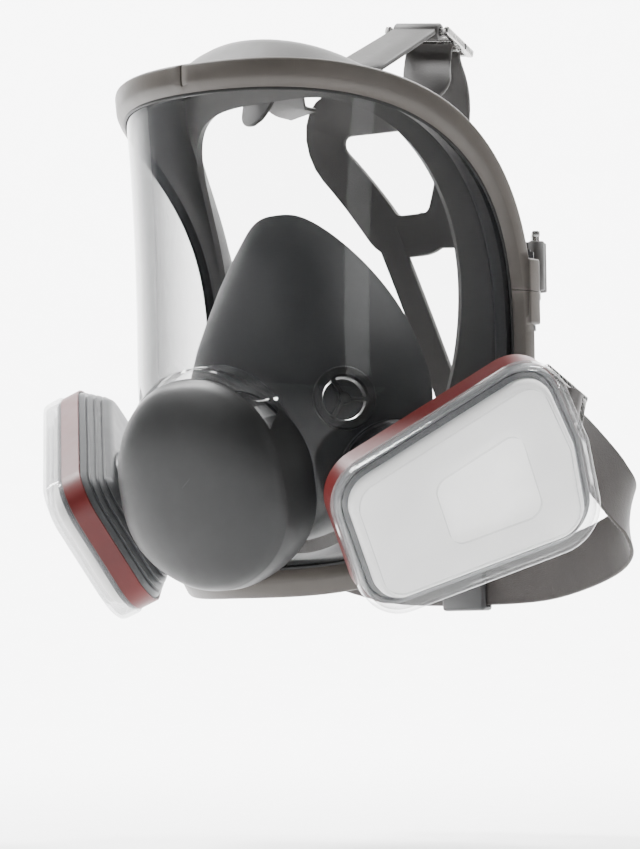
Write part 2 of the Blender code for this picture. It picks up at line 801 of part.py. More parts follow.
def cartridges():
    """On each side: body, sorbent bed, grid, label band, filter pad and retainer."""
    for name, side in SIDES.items():
        frame = port_frame(side)
        cartridge_body(name, frame)
        bed = (CARTRIDGE_BACK + 12, CARTRIDGE_FRONT - 2.4)
        extruded(f"sorbent_bed_{name}", cartridge_outline(-WALL - 1.2), *bed, frame, "carbon")
        cartridge_grid(name, frame)
        label_band(name, frame)
        pad = (CARTRIDGE_FRONT + GAP, CARTRIDGE_FRONT + 5)
        extruded(f"filter_pad_{name}", cartridge_outline(-4), *pad, frame, "pad_white")
        retainer(name, frame)


def cartridge_body(name, frame):
    """The open-fronted cartridge shell, its back drawn in towards the bayonet collar and bore."""
    shoulder = CARTRIDGE_BACK + 10
    levels = [
        (-9.5, CARTRIDGE_BACK),
        (-7.5, CARTRIDGE_BACK + 1),
        (-0.5, shoulder),
        (0, CARTRIDGE_FRONT),
        (-WALL, CARTRIDGE_FRONT),
        (-WALL - 0.5, shoulder + 1),
        (-10.5, CARTRIDGE_BACK + 1.8),
    ]
    outlines = [cartridge_outline(grow) for grow, _ in levels]

    def point(k, i):
        if k in (0, 8):
            x, y, z = 12, 0, levels[0][1] if k == 0 else levels[-1][1]
        else:
            (x, y), z = outlines[k - 1][i], levels[k - 1][1]
        return frame @ (Vector((x, y, z)) * MM) / MM

    body = bowl(f"cartridge_body_{name}", point, len(outlines[0]), "body_grey", 8)
    collar = tube_ring("collar", 20.6, 23, PORT_FACE + 1, CARTRIDGE_BACK + 1, frame)
    combine(body, [collar], "UNION")
    cuts = [disc("bore", 16.1, 0, CARTRIDGE_BACK + 4, frame)]
    for index in range(3):
        turn = Matrix.Rotation(index * 2 * pi / 3 - pi / 4, 4, "Z")
        cuts.append(box("notch", (5, 8.4, 8), (16.8, 0, CARTRIDGE_BACK + 1), frame @ turn))
    return combine(body, cuts, "DIFFERENCE")


def cartridge_grid(name, frame):
    """The perforated plate that holds the sorbent and lets the air through."""
    top = CARTRIDGE_FRONT - GAP
    grid = extruded(f"cartridge_grid_{name}", cartridge_outline(-WALL - 0.4), top - 1.6, top, frame, "body_grey")
    slots = [box("slot", (5, 40, 10), (x, 0, top), frame) for x in range(-18, 50, 11)]
    return combine(grid, slots, "DIFFERENCE")


def label_band(name, frame):
    """The thin label round the cartridge's side, behind the retainer's skirt."""
    span = (CARTRIDGE_BACK + 10.4, CARTRIDGE_FRONT - 2.4)
    band = extruded(f"label_band_{name}", cartridge_outline(GAP + 0.7), *span, frame, "maroon")
    inside = extruded("inside", cartridge_outline(GAP), 0, 60, frame)
    return combine(band, [inside], "DIFFERENCE")


def retainer(name, frame):
    """The clear snap-on retainer: a skirt round the body, a stepped face and an open window."""
    low = CARTRIDGE_FRONT - 2
    shell = extruded(f"retainer_{name}", cartridge_outline(GAP + 1.6), low, CARTRIDGE_FRONT + 6.5, frame, "clear")
    step = extruded("step", cartridge_outline(-5), CARTRIDGE_FRONT + 2, RETAINER_FRONT, frame)
    combine(shell, [step], "UNION")
    inside = extruded("inside", cartridge_outline(GAP), 0, CARTRIDGE_FRONT + 5.1, frame)
    upper = extruded("upper", cartridge_outline(-6.6), CARTRIDGE_FRONT, RETAINER_FRONT - 1.5, frame)
    corners = [(2, -14), (40, -19), (40, 19), (2, 14)]
    window = extruded("window", rounded(corners, 6, 2), CARTRIDGE_FRONT, 60, frame)
    return combine(shell, [inside, upper, window], "DIFFERENCE")


# ---------------------------------------------------------------- harness, straps and buckles


def buckle_frame(kind, side):
    """A buckle's axes: local Y runs along its strap, local Z out of its face, its bar at the origin."""
    at, along, outside = (Vector((side * x, y, z)) for x, y, z in BUCKLES[kind])
    return frame_matrix(at, along.cross(outside), outside)


def buckle(kind, name, side):
    """A ladder buckle: two rails, a bar for the tab, a middle bar, an end bar and a knurled roller."""
    frame = buckle_frame(kind, side)
    across = frame @ Matrix.Rotation(pi / 2, 4, "Y")
    rail = RAIL_X[kind]
    body = box(f"{kind}_buckle_{name}", (2.6, 26, 3), (rail, 11, 0), frame, "steel")
    pieces = [
        box("rail", (2.6, 26, 3), (-rail, 11, 0), frame),
        disc("bar", 1.4, -rail, rail, across, steps=10),
        box("middle", (2 * rail, 2.6, 2.2), (0, 9.2, 0), frame),
        box("end", (2 * rail, 2.6, 2.6), (0, 22.5, 0), frame),
    ]
    combine(body, pieces, "UNION")
    place_of_roller = frame @ Matrix.Translation((0, ROLLER_Y * MM, 0)) @ Matrix.Rotation(pi / 2, 4, "Y")
    combine(body, [disc("pin_hole", 1.2, -20, 20, place_of_roller, steps=8)], "DIFFERENCE")
    end = rail - 1.3 - GAP
    profile = [(0, rail + 1), (0.9, rail + 1), (0.9, end), (ROLLER_R, end)]
    profile += [(radius, -height) for radius, height in reversed(profile)]
    turned(f"{kind}_roller_{name}", profile, place_of_roller, "steel", 10)


def strap_loop(kind, side):
    """A strap's run through its buckle, from its hanging tail, over the roller, to its way out."""
    frame = buckle_frame(kind, side)
    across = frame.to_3x3() @ Vector((1, 0, 0))
    lean = TAIL_LEAN if kind == "top" else 0
    loop = [(lean, 6.5, -27), (lean / 3, 9.5, -15), (0, 12.1, -5), (0, 12.1, 0), (0, 12.8, 2.7)]
    loop += [(0, 15.5, 3.8), (0, 18.2, 2.7), (0, 19, -0.6), (0, 22, -4)]
    return [(frame @ (Vector((x, y, z)) * MM) / MM, across) for x, y, z in loop]


def straps():
    """The top, temple and neck straps, from each buckle to the head web or the neck clip."""
    ends = {
        ("top", "left"): [((38, 34, 106), (1, 0.2, 0)), ((32, 46, 95), (0.8, 0, -0.5))],
        ("top", "right"): [((-47, 36, 108), (1, -0.1, 0)), ((-45, 44.5, 103), (1, 0, 0))],
        ("temple", "left"): [((48, 61, 40), (0.3, 0, -1)), ((31, 65, 50), (0.35, 0, -1))],
        ("temple", "right"): [((-44, 60, 27), (0.1, 0, 1)), ((-17, 65.4, 14), (0.3, 0, 1))],
    }
    for (kind, name), route in ends.items():
        full = strap_loop(kind, SIDES[name]) + [(Vector(at), Vector(way)) for at, way in route]
        ribbon(f"{kind}_strap_{name}", full, STRAP_HALF, "seal_grey", 2)
    for name, side in SIDES.items():
        route = [
            ((side * 88, 73, -54.5), (0, -0.5 * side, -0.85 * side)),
            ((side * 88, 85, -67), (0, -0.2 * side, -1 * side)),
            ((side * 76, 92, -79), (0, 0, -side)),
            ((side * 42, 95, -89), (0, 0.1 * side, -side)),
            ((side * 6, 94, -91), (0, 0, -side)),
        ]
        full = strap_loop("neck", side) + [(Vector(at), Vector(way)) for at, way in route]
        ribbon(f"neck_strap_{name}", full, NECK_HALF, "webbing", 2)


def neck_clip():
    """The clip that joins the two neck straps, with a mouth for each strap's end."""
    place_it = Matrix.Translation(Vector((0, 94, -91)) * MM)
    clip = box("neck_clip", (22, 7, 28), (0, 0, 0), place_it, "dark_plastic")
    mouths = [box("mouth", (11, 2.8, 24.8), (side * 11, 0, 0), place_it) for side in SIDES.values()]
    return combine(clip, mouths, "DIFFERENCE")


def web_depth(x, z):
    """How far back the head web lies: furthest in the middle, forward towards the top straps."""
    return 63 - 5 * (x / 50) ** 2 - 12 * max(0, (z - 60) / 45) ** 2


def web_strip(name, ends, half_width, lift=0.0):
    """A strip of the web from one (x, z) point to another."""
    (x0, z0), (x1, z1) = ends
    route = []
    for step in range(4):
        x, z = x0 + (x1 - x0) * step / 3, z0 + (z1 - z0) * step / 3
        route.append((Vector((x, web_depth(x, z) + lift, z)), Vector((z1 - z0, 0, x0 - x1))))
    return ribbon(name, route, half_width, None, 2, 2.2 - lift)


def head_harness():
    """The flat rubber web behind the head: a ring round an opening, a side arm and a tail."""
    loop = rounded([(-53, 105), (-13, 52), (13, 52), (32, 104)], 13, 3)
    line = []
    for index, here in enumerate(loop):
        there = loop[(index + 1) % len(loop)]
        count = max(1, round(hypot(there[0] - here[0], there[1] - here[1]) / 14))
        line += [Vector(here).lerp(Vector(there), step / count) for step in range(count)]
    section = ((9, 1.1), (9, -1.1), (-9, -1.1), (-9, 1.1))

    def point(i, j):
        along = (line[(i + 1) % len(line)] - line[i - 1]).normalized()
        flat = line[i] + Vector((along.y, -along.x)) * section[j][0]
        return (flat.x, web_depth(flat.x, flat.y) + section[j][1], flat.y)

    web = ring("head_harness", point, len(line), 4, "seal_grey")
    strips = [
        web_strip("arm", ((2, 54), (32, 51)), 7.4, 0.1),
        web_strip("tail", ((-15, 54), (20, -26)), 6, 0.2),
        web_strip("foot", ((9, 4), (-16, 6)), 7, 0.3),
    ]
    return combine(web, strips, "UNION")


# ---------------------------------------------------------------- assembly


start_scene()
lens()
frame_halves()
frame_screws()
face_seal()
nose_cup()
nose_cup_valves()
central_adapter()
exhalation_valve()
exhalation_cover()
inhalation_ports()
cartridges()
for side_name, side_sign in SIDES.items():
    for buckle_kind in BUCKLES:
        buckle(buckle_kind, side_name, side_sign)
straps()
neck_clip()
head_harness()
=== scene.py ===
"""Full face respirator: the looks of every piece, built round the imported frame.

Lengths are in millimetres and MM turns them into metres. The mask faces -Y, +Z is up and +X is the
wearer's left. The shapes follow the same driving dimensions as the frame, at a finer resolution.
"""

import json
from math import atan2, cos, pi, radians, sin

import bmesh
import bpy
from mathutils import Matrix, Vector


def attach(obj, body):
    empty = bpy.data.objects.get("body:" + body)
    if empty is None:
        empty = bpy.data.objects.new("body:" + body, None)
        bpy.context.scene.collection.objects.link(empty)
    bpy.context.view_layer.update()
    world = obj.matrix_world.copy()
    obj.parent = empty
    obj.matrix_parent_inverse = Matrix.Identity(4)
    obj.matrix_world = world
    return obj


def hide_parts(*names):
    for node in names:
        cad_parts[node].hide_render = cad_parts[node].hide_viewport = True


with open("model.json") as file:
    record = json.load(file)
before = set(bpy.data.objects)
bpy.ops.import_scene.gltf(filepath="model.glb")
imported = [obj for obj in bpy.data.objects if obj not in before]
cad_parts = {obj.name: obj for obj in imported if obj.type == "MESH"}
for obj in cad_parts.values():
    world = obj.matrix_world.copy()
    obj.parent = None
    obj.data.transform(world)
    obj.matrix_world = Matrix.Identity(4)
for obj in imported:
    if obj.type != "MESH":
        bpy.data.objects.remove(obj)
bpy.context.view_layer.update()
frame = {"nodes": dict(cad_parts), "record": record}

MM = 0.001
SIDES = {"left": 1, "right": -1}
MASK = "mask"

# Lens and frame
LENS_HALF_WIDTH = 78
LENS_FRONT = 80.8
LENS_SIDE = 26
LENS_T = 2.2
CHIN_FROM_Z = -8
CHIN_SPAN = 90
CHIN_NARROWING = 24
CHIN_RECEDING = 30
RIM_CENTRE_Z = 3
RIM_HALF_HEIGHT = 96
RIM_EXPONENT = 3.5
RIM_STEPS = 200
BAND_OUT = 6.0
BAND_PROUD = 3.6
BAND_BACK = -9.0
SEAM_Z = 19.5
LUG_HALF_HEIGHT = 13

# Face opening and seal
FACE_HALF_WIDTH = 59.5
FACE_TOP = 98
FACE_CHEEK_Z = 20
FACE_CHIN = -84
FACE_TEMPLE_Y = 11
FACE_FOREHEAD_BACK = 41
FACE_CHIN_BACK = 27
SEAL_T = 2.4
ROLL_RISE = 19

# Central adapter and cover
ADAPTER_Z = -51
ADAPTER_TILT = radians(12)
COLLAR_R = 39.5
COLLAR_OUT = 1
COLLAR_BORE_R = 28
COVER_FRONT = 14
COVER_HALF_WIDTH = 41.5
COVER_TOP = 40
COVER_FOOT = 42

# Side ports and cartridges
PORT_AT = (59.4, -29.7, -55)
PORT_AZIMUTH = radians(63.2)
PORT_DOWN = radians(25.4)
PORT_BOSS_R = 22
PORT_BORE_R = 16.3
PORT_FACE = 4.5
CARTRIDGE_RISE = radians(28.3)
NARROW_END = -34
WIDE_END = 64
NARROW_HALF = 29.5
WIDE_HALF = 41
CORNER_R = 16
CARTRIDGE_BACK = 10
CARTRIDGE_FRONT = 31
RETAINER_FRONT = 39.5

# Buckles and straps
BUCKLES = {
    "top": ((46, 6, 124), (-0.22, 0.94, -0.24), (0.05, 0.25, 1)),
    "temple": ((75.5, 42, 31), (-0.6, 0.8, 0.06), (0.8, 0.6, 0)),
    "neck": ((78, 41, -21.5), (0.1, 0.85, -0.5), (0.97, -0.05, 0.2)),
}
TAB_ROOTS = {
    "top": ((43, -31, 104.5), (45, -12, 115), 11),
    "temple": ((62.5, 21.5, 31), (63.5, 38, 31), 10),
    "neck": ((62.5, 19.5, -10), (57, 45, -12), 7.5),
}
RAIL_X = {"top": 12.6, "temple": 12.6, "neck": 13.7}
ROLLER_Y = 15.5
ROLLER_R = 2.2
STRAP_HALF = 10
NECK_HALF = 11.9
STRAP_T = 1.6
TAIL_LEAN = 7


# ---------------------------------------------------------------- camera, floor and light


VIEW_TURN = radians(38.94)
FLOOR_Z = -0.20
SWEEP_R = 0.9


def camera():
    """The camera in front of the mask's left side, a little below its middle."""
    turn, rise, roll, away = VIEW_TURN, radians(-5.11), radians(-0.9), 1.253
    back = Vector((sin(turn) * cos(rise), -cos(turn) * cos(rise), sin(rise)))
    right = Vector((cos(turn), sin(turn), 0))
    up = back.cross(right)
    right, up = right * cos(roll) + up * sin(roll), up * cos(roll) - right * sin(roll)
    place = back * away
    aim = -right * 0.0014 - up * 0.0298
    look = (place - aim).normalized()
    across = (right - look * right.dot(look)).normalized()
    data = bpy.data.cameras.new("camera")
    data.lens = 132.3
    data.clip_end = 20
    made = bpy.data.objects.new("camera", data)
    bpy.context.scene.collection.objects.link(made)
    axes = Matrix((across, look.cross(across), look)).transposed().to_4x4()
    made.matrix_world = Matrix.Translation(place) @ axes
    bpy.context.scene.camera = made


def area_light(name, place, aim, size, power):
    """A soft rectangular light."""
    data = bpy.data.lights.new(name, "AREA")
    data.shape = "RECTANGLE"
    data.size, data.size_y = size
    data.energy = power
    made = bpy.data.objects.new(name, data)
    bpy.context.scene.collection.objects.link(made)
    made.location = place
    made.rotation_euler = (Vector(place) - Vector(aim)).to_track_quat("Z", "Y").to_euler()


def studio():
    """A pale floor that sweeps up into a backdrop, an even sky, three soft lights on the mask and two
    more on the backdrop."""
    profile = [(-3.0, 0.0), (1.2, 0.0)]
    for degrees_up in range(10, 91, 10):
        bend = radians(degrees_up)
        profile.append((1.2 + SWEEP_R * sin(bend), SWEEP_R - SWEEP_R * cos(bend)))
    profile.append((2.1, 3.2))
    mesh = bpy.data.meshes.new("floor")
    points = [(x, y, FLOOR_Z + z) for y, z in profile for x in (-3.5, 3.5)]
    faces = [(2 * i, 2 * i + 1, 2 * i + 3, 2 * i + 2) for i in range(len(profile) - 1)]
    facing = Matrix.Rotation(VIEW_TURN, 3, "Z")
    mesh.from_pydata([facing @ Vector(p) for p in points], [], faces)
    floor = bpy.data.objects.new("floor", mesh)
    bpy.context.scene.collection.objects.link(floor)
    floor.data.shade_smooth()
    floor.data.materials.append(surface("floor_paper", (0.93, 0.93, 0.93), 0.85, spread=0.01, bump=0.02))
    world = bpy.data.worlds.new("studio")
    world.use_nodes = True
    world.node_tree.nodes["Background"].inputs["Color"].default_value = (1, 1, 1, 1)
    world.node_tree.nodes["Background"].inputs["Strength"].default_value = 0.14
    bpy.context.scene.world = world
    area_light("key", (-0.75, -1.3, 0.95), (0, 0, 0), (0.8, 0.8), 8)
    area_light("side", (1.5, -0.55, 0.55), (0, 0, 0), (0.35, 1.2), 4)
    area_light("top", (0.1, 0.3, 1.5), (0, 0, 0), (1.0, 1.0), 8)
    for across in (-1.1, 1.1):
        behind = facing @ Vector((across, 0.5, 1.7))
        wall = facing @ Vector((across * 0.3, 2.1, 0.2))
        area_light("wall_light", behind, wall, (1.2, 0.5), 230)


# ---------------------------------------------------------------- materials


def noise(tree, scale, detail=3.0, stretch=(1, 1, 1)):
    """A noise texture in the object's own coordinates."""
    coords = tree.nodes.new("ShaderNodeTexCoord")
    mapping = tree.nodes.new("ShaderNodeMapping")
    mapping.inputs["Scale"].default_value = stretch
    texture = tree.nodes.new("ShaderNodeTexNoise")
    texture.inputs["Scale"].default_value = scale
    texture.inputs["Detail"].default_value = detail
    tree.links.new(coords.outputs["Object"], mapping.inputs["Vector"])
    tree.links.new(mapping.outputs["Vector"], texture.inputs["Vector"])
    return texture.outputs["Fac"]


def ramp(tree, value, low, high, at=(0.35, 0.65)):
    """A colour that goes from low to high as the value goes between the two places."""
    node = tree.nodes.new("ShaderNodeValToRGB")
    node.color_ramp.elements[0].position, node.color_ramp.elements[1].position = at
    node.color_ramp.elements[0].color = (*low, 1)
    node.color_ramp.elements[1].color = (*high, 1)
    tree.links.new(value, node.inputs["Fac"])
    return node.outputs["Color"]


def surface(name, colour, roughness, metallic=0.0, spread=0.1, grain=1400, bump=0.15, stretch=(1, 1, 1),
            wear=0.0, sheen=0.0, gloss=0.32, depth=0.0003):
    """A moulded, woven or brushed surface: broad colour variation, fine grain in the roughness and
    bump, and edges a little lighter where wear is more than 0."""
    made = bpy.data.materials.new(name)
    made.use_nodes = True
    tree = made.node_tree
    shader = tree.nodes["Principled BSDF"]
    dark = [c * (1 - spread) for c in colour]
    light = [min(1, c * (1 + spread)) for c in colour]
    tint = ramp(tree, noise(tree, 45, 4), dark, light)
    if wear:
        geometry = tree.nodes.new("ShaderNodeNewGeometry")
        edge = ramp(tree, geometry.outputs["Pointiness"], (0, 0, 0), (wear, wear, wear), (0.51, 0.58))
        mix = tree.nodes.new("ShaderNodeMixRGB")
        tree.links.new(edge, mix.inputs["Fac"])
        tree.links.new(tint, mix.inputs["Color1"])
        mix.inputs["Color2"].default_value = (*[min(1, c * 1.9 + 0.05) for c in colour], 1)
        tint = mix.outputs["Color"]
    tree.links.new(tint, shader.inputs["Base Color"])
    fine = noise(tree, grain, 2, stretch)
    rough = [max(0.0, roughness - 0.03)] * 3, [min(1.0, roughness + 0.03)] * 3
    tree.links.new(ramp(tree, noise(tree, 160, 5, stretch), *rough), shader.inputs["Roughness"])
    shader.inputs["Metallic"].default_value = metallic
    shader.inputs["Specular IOR Level"].default_value = gloss
    shader.inputs["Sheen Weight"].default_value = sheen
    if bump:
        node = tree.nodes.new("ShaderNodeBump")
        node.inputs["Strength"].default_value = bump
        node.inputs["Distance"].default_value = depth
        tree.links.new(fine, node.inputs["Height"])
        tree.links.new(node.outputs["Normal"], shader.inputs["Normal"])
    return made


def clear_material(name, colour, faint, full, roughness):
    """Clear moulded plastic: faint where it is seen face on, fuller and glossier towards its edges."""
    made = surface(name, colour, roughness, spread=0.02, grain=60, bump=0.02, gloss=0.5)
    tree = made.node_tree
    shader = tree.nodes["Principled BSDF"]
    shader.inputs["IOR"].default_value = 1.9
    facing = tree.nodes.new("ShaderNodeLayerWeight")
    facing.inputs["Blend"].default_value = 0.5
    opacity = ramp(tree, facing.outputs["Facing"], (faint,) * 3, (full,) * 3, (0.25, 0.95))
    tree.links.new(opacity, shader.inputs["Alpha"])
    return made


def all_materials():
    """Every material, by its record slot."""
    return {
        "lens_clear": clear_material("lens_clear", (0.045, 0.047, 0.05), 0.10, 0.85, 0.05),
        "frame_taupe": surface("frame_taupe", (0.044, 0.038, 0.033), 0.44, spread=0.06, wear=0.5),
        "seal_grey": surface("seal_grey", (0.050, 0.048, 0.046), 0.55, spread=0.07, bump=0.2, sheen=0.1),
        "cup_grey": surface("cup_grey", (0.024, 0.0245, 0.025), 0.55, spread=0.06, bump=0.04),
        "dark_plastic": surface("dark_plastic", (0.014, 0.014, 0.0145), 0.34, wear=0.25),
        "cover_black": surface(
            "cover_black", (0.0095, 0.0097, 0.010), 0.45, spread=0.05, grain=2200, bump=0.05, wear=0.2
        ),
        "valve_rubber": surface("valve_rubber", (0.006, 0.006, 0.006), 0.5),
        "cartridge_grey": surface("cartridge_grey", (0.050, 0.052, 0.054), 0.42, wear=0.35),
        "carbon": surface("carbon", (0.010, 0.010, 0.011), 0.8, grain=700, bump=0.8, depth=0.001),
        "label_maroon": surface("label_maroon", (0.075, 0.006, 0.0055), 0.42, spread=0.12, bump=0.05),
        "pad_white": surface(
            "pad_white", (0.86, 0.86, 0.85), 0.92, spread=0.04, grain=500, bump=0.5, sheen=0.3
        ),
        "retainer_clear": clear_material("retainer_clear", (0.30, 0.305, 0.31), 0.07, 0.6, 0.08),
        "strap_rubber": surface(
            "strap_rubber", (0.030, 0.0275, 0.026), 0.55, spread=0.08, bump=0.2, sheen=0.08
        ),
        "webbing": surface(
            "webbing", (0.026, 0.022, 0.020), 0.62, spread=0.15, grain=1800, bump=0.5, sheen=0.2
        ),
        "steel": surface(
            "steel", (0.40, 0.395, 0.385), 0.26, metallic=1, spread=0.05, stretch=(1, 12, 1), bump=0.1
        ),
    }


# ---------------------------------------------------------------- mesh helpers


def new_object(name, mesh):
    """A linked object for this mesh."""
    made = bpy.data.objects.new(name, mesh)
    bpy.context.scene.collection.objects.link(made)
    return made


def tidy(obj, sharp=35):
    """Welds doubles, turns the faces out and shades smooth with sharp creases."""
    work = bmesh.new()
    work.from_mesh(obj.data)
    bmesh.ops.remove_doubles(work, verts=work.verts, dist=0.000004)
    bmesh.ops.recalc_face_normals(work, faces=work.faces)
    work.to_mesh(obj.data)
    work.free()
    obj.data.shade_smooth()
    obj.data.set_sharp_from_angle(angle=radians(sharp))
    return obj


def loft(name, sections, loop=True, closed=True):
    """A skin over sections of points in millimetres, round a loop or with a flat cap on each end.
    A section that isn't closed runs from the axis to the axis."""
    count = len(sections[0])
    points = [Vector(p) * MM for section in sections for p in section]
    faces = []
    for i in range(len(sections) if loop else len(sections) - 1):
        here, there = i * count, (i + 1) % len(sections) * count
        for j in range(count if closed else count - 1):
            k = (j + 1) % count
            faces.append((here + j, here + k, there + k, there + j))
    if not loop:
        faces.append(tuple(range(count)))
        faces.append(tuple(range((len(sections) - 1) * count, len(sections) * count)))
    mesh = bpy.data.meshes.new(name)
    mesh.from_pydata(points, [], faces)
    return tidy(new_object(name, mesh))


def apply_modifiers(obj):
    """Swaps the object's mesh for its evaluated one."""
    mesh = bpy.data.meshes.new_from_object(obj.evaluated_get(bpy.context.evaluated_depsgraph_get()))
    obj.modifiers.clear()
    obj.data = mesh
    return obj


def combine(obj, others, operation, sharp=35):
    """Unites the object with the others, or cuts them from it, and removes them."""
    for other in others:
        boolean = obj.modifiers.new(operation.lower(), "BOOLEAN")
        boolean.operation = operation
        boolean.object = other
    apply_modifiers(obj)
    for other in others:
        bpy.data.objects.remove(other, do_unlink=True)
    obj.data.shade_smooth()
    obj.data.set_sharp_from_angle(angle=radians(sharp))
    return obj


def bevelled(obj, width, segments=3, angle=35):
    """The object with its sharp edges rounded."""
    modifier = obj.modifiers.new("edges", "BEVEL")
    modifier.width = width * MM
    modifier.segments = segments
    modifier.limit_method = "ANGLE"
    modifier.angle_limit = radians(angle)
    modifier.harden_normals = True
    apply_modifiers(obj)
    return obj


def turned(name, profile, matrix, steps=72):
    """A solid turned about the local Z axis from (radius, height) points."""
    solid = profile[0][0] == 0
    sections = []
    for i in range(steps):
        angle = 2 * pi * i / steps
        section = [matrix @ (Vector((r * cos(angle), r * sin(angle), h)) * MM) / MM for r, h in profile]
        sections.append(section)
    return loft(name, sections, True, not solid)


def tube_ring(name, inner, outer, low, high, matrix, edge=0.4, steps=72):
    """A turned ring with small chamfers."""
    profile = [
        (inner + edge, high), (outer - edge, high), (outer, high - edge), (outer, low + edge),
        (outer - edge, low), (inner + edge, low), (inner, low + edge), (inner, high - edge),
    ]
    return turned(name, profile, matrix, steps)


def disc(name, radius, low, high, matrix, edge=0.3, steps=72):
    """A turned disc with small chamfers."""
    profile = [(0, high), (radius - edge, high), (radius, high - edge)]
    profile += [(radius, low + edge), (radius - edge, low), (0, low)]
    return turned(name, profile, matrix, steps)


def block(name, size, at, matrix, edge=0.0):
    """A box round the point at, with rounded edges."""
    sx, sy, sz = (s / 2 for s in size)
    corners = [(-sx, -sy), (sx, -sy), (sx, sy), (-sx, sy)]
    sections = []
    for z in (-sz, sz):
        sections.append([matrix @ ((Vector((x, y, z)) + Vector(at)) * MM) / MM for x, y in corners])
    made = loft(name, sections, False)
    return bevelled(made, edge) if edge else made


def smooth_path(points, steps):
    """Points along a Catmull-Rom curve through the given ones."""
    last = len(points) - 1
    path = []
    for index in range(last):
        a, b, c, d = (Vector(points[max(0, min(last, index + k))]) for k in (-1, 0, 1, 2))
        for step in range(steps):
            t = step / steps
            bend = (c - a) * t + (2 * a - 5 * b + 4 * c - d) * t**2 + (3 * (b - c) + d - a) * t**3
            path.append(b + bend / 2)
    return [*path, Vector(points[last])]


def strap(name, route, half_width, steps=8, thickness=STRAP_T, rib=0.0, rounded_end=False):
    """A strap along a route of (point, across) pairs, with rounded edges and, with rib, cross ribs."""
    path = smooth_path([point for point, _ in route], steps)
    ways = [way.normalized() for way in smooth_path([way for _, way in route], steps)]
    last = len(path) - 1
    sections = []
    travelled = 0
    for index, here in enumerate(path):
        along = path[min(index + 1, last)] - path[max(index - 1, 0)]
        travelled += (here - path[max(index - 1, 0)]).length
        side = (ways[index] - ways[index].project(along)).normalized()
        face = along.cross(side).normalized()
        half, thick = half_width, thickness / 2
        if rounded_end and travelled < half_width:
            half = half_width * max(0.25, (1 - (1 - travelled / half_width) ** 2) ** 0.5)
        ridge = rib if index % 2 else 0
        sections.append([
            here + side * x * half + face * (y * thick + (ridge if y > 0 else 0))
            for x, y in ((-1, 0.35), (-0.96, 1), (-0.5, 1), (0, 1), (0.5, 1), (0.96, 1), (1, 0.35),
                         (1, -0.35), (0.96, -1), (0, -1), (-0.96, -1), (-1, -0.35))
        ])
    return loft(name, sections, False)


def frame_matrix(origin, x_axis, z_axis):
    """The placement whose local X and Z axes point these ways, with its origin in millimetres."""
    z = Vector(z_axis).normalized()
    x = (Vector(x_axis) - Vector(x_axis).dot(z) * z).normalized()
    rotation = Matrix((x, z.cross(x), z)).transposed()
    return Matrix.Translation(Vector(origin) * MM) @ rotation.to_4x4()


def power(value, exponent):
    """The signed power that turns a circle into a superellipse."""
    return (1 if value >= 0 else -1) * abs(value) ** exponent


def squarish(turn, exponent):
    """A point on a superellipse of half width and half height 1, at this part of a turn."""
    across, height = cos(2 * pi * turn), sin(2 * pi * turn)
    reach = (abs(across) ** exponent + abs(height) ** exponent) ** (-1 / exponent)
    return across * reach, height * reach


def rounded(corners, radius, arc_steps=10):
    """A polygon of (x, y) corners, anticlockwise, with each corner an arc of this radius."""
    outline = []
    count = len(corners)
    for index, corner in enumerate(corners):
        here = Vector(corner)
        before = (Vector(corners[index - 1]) - here).normalized()
        after = (Vector(corners[(index + 1) % count]) - here).normalized()
        half = before.angle(after) / 2
        centre = here + (before + after).normalized() * radius / sin(half)
        start = here + before * radius * cos(half) / sin(half) - centre
        sweep = pi - 2 * half
        first = atan2(start.y, start.x)
        for step in range(arc_steps + 1):
            angle = first + sweep * step / arc_steps
            outline.append((centre.x + radius * cos(angle), centre.y + radius * sin(angle)))
    return outline


def finish_piece(obj, body, slot_name, *nodes):
    """Gives the piece its material, hangs it on the empty of the body it rides on and hides the nodes it
    stands for.
    """
    obj.data.materials.clear()
    obj.data.materials.append(MATERIALS[slot_name])
    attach(obj, body)
    if nodes:
        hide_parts(*nodes)
    return obj


# ---------------------------------------------------------------- the lens's surface, rim and axes


def chin(z):
    """0 above the chin's start and 1 at the lens's foot, growing smoothly."""
    return (max(0, CHIN_FROM_Z - z) / CHIN_SPAN) ** 2


def lens_point(angle, z):
    """The lens's outer surface, at an angle round from the front and a height."""
    half_width = LENS_HALF_WIDTH - CHIN_NARROWING * chin(z)
    front = LENS_FRONT - CHIN_RECEDING * chin(z)
    side = LENS_SIDE - (21 if z > 0 else 16) * (z / 95) ** 2
    return Vector((half_width * sin(angle), side - (side + front) * cos(angle), z))


def lens_normal(angle, z):
    """The outward normal of the lens's surface."""
    step = 0.01
    along = lens_point(angle + step, z) - lens_point(angle - step, z)
    up = lens_point(angle, z + 50 * step) - lens_point(angle, z - 50 * step)
    return along.cross(up).normalized()


def rim_place(turn):
    """The rim's angle and height at this part of a turn round it, starting at the left side."""
    across, height = squarish(turn, RIM_EXPONENT)
    return across * pi / 2, RIM_CENTRE_Z + RIM_HALF_HEIGHT * height


def rim_frame(turn):
    """The rim's point, the direction out of the lens in its surface, and the surface's normal."""
    here = lens_point(*rim_place(turn))
    along = lens_point(*rim_place(turn + 0.004)) - lens_point(*rim_place(turn - 0.004))
    normal = lens_normal(*rim_place(turn))
    return here, along.cross(normal).normalized(), normal


def rim_sweep(name, section, steps=RIM_STEPS):
    """A loop round the rim with this section of (outward, proud) points."""
    sections = []
    for i in range(steps):
        here, outward, normal = rim_frame(i / steps)
        sections.append([here + outward * out + normal * proud for out, proud in section])
    return loft(name, sections)


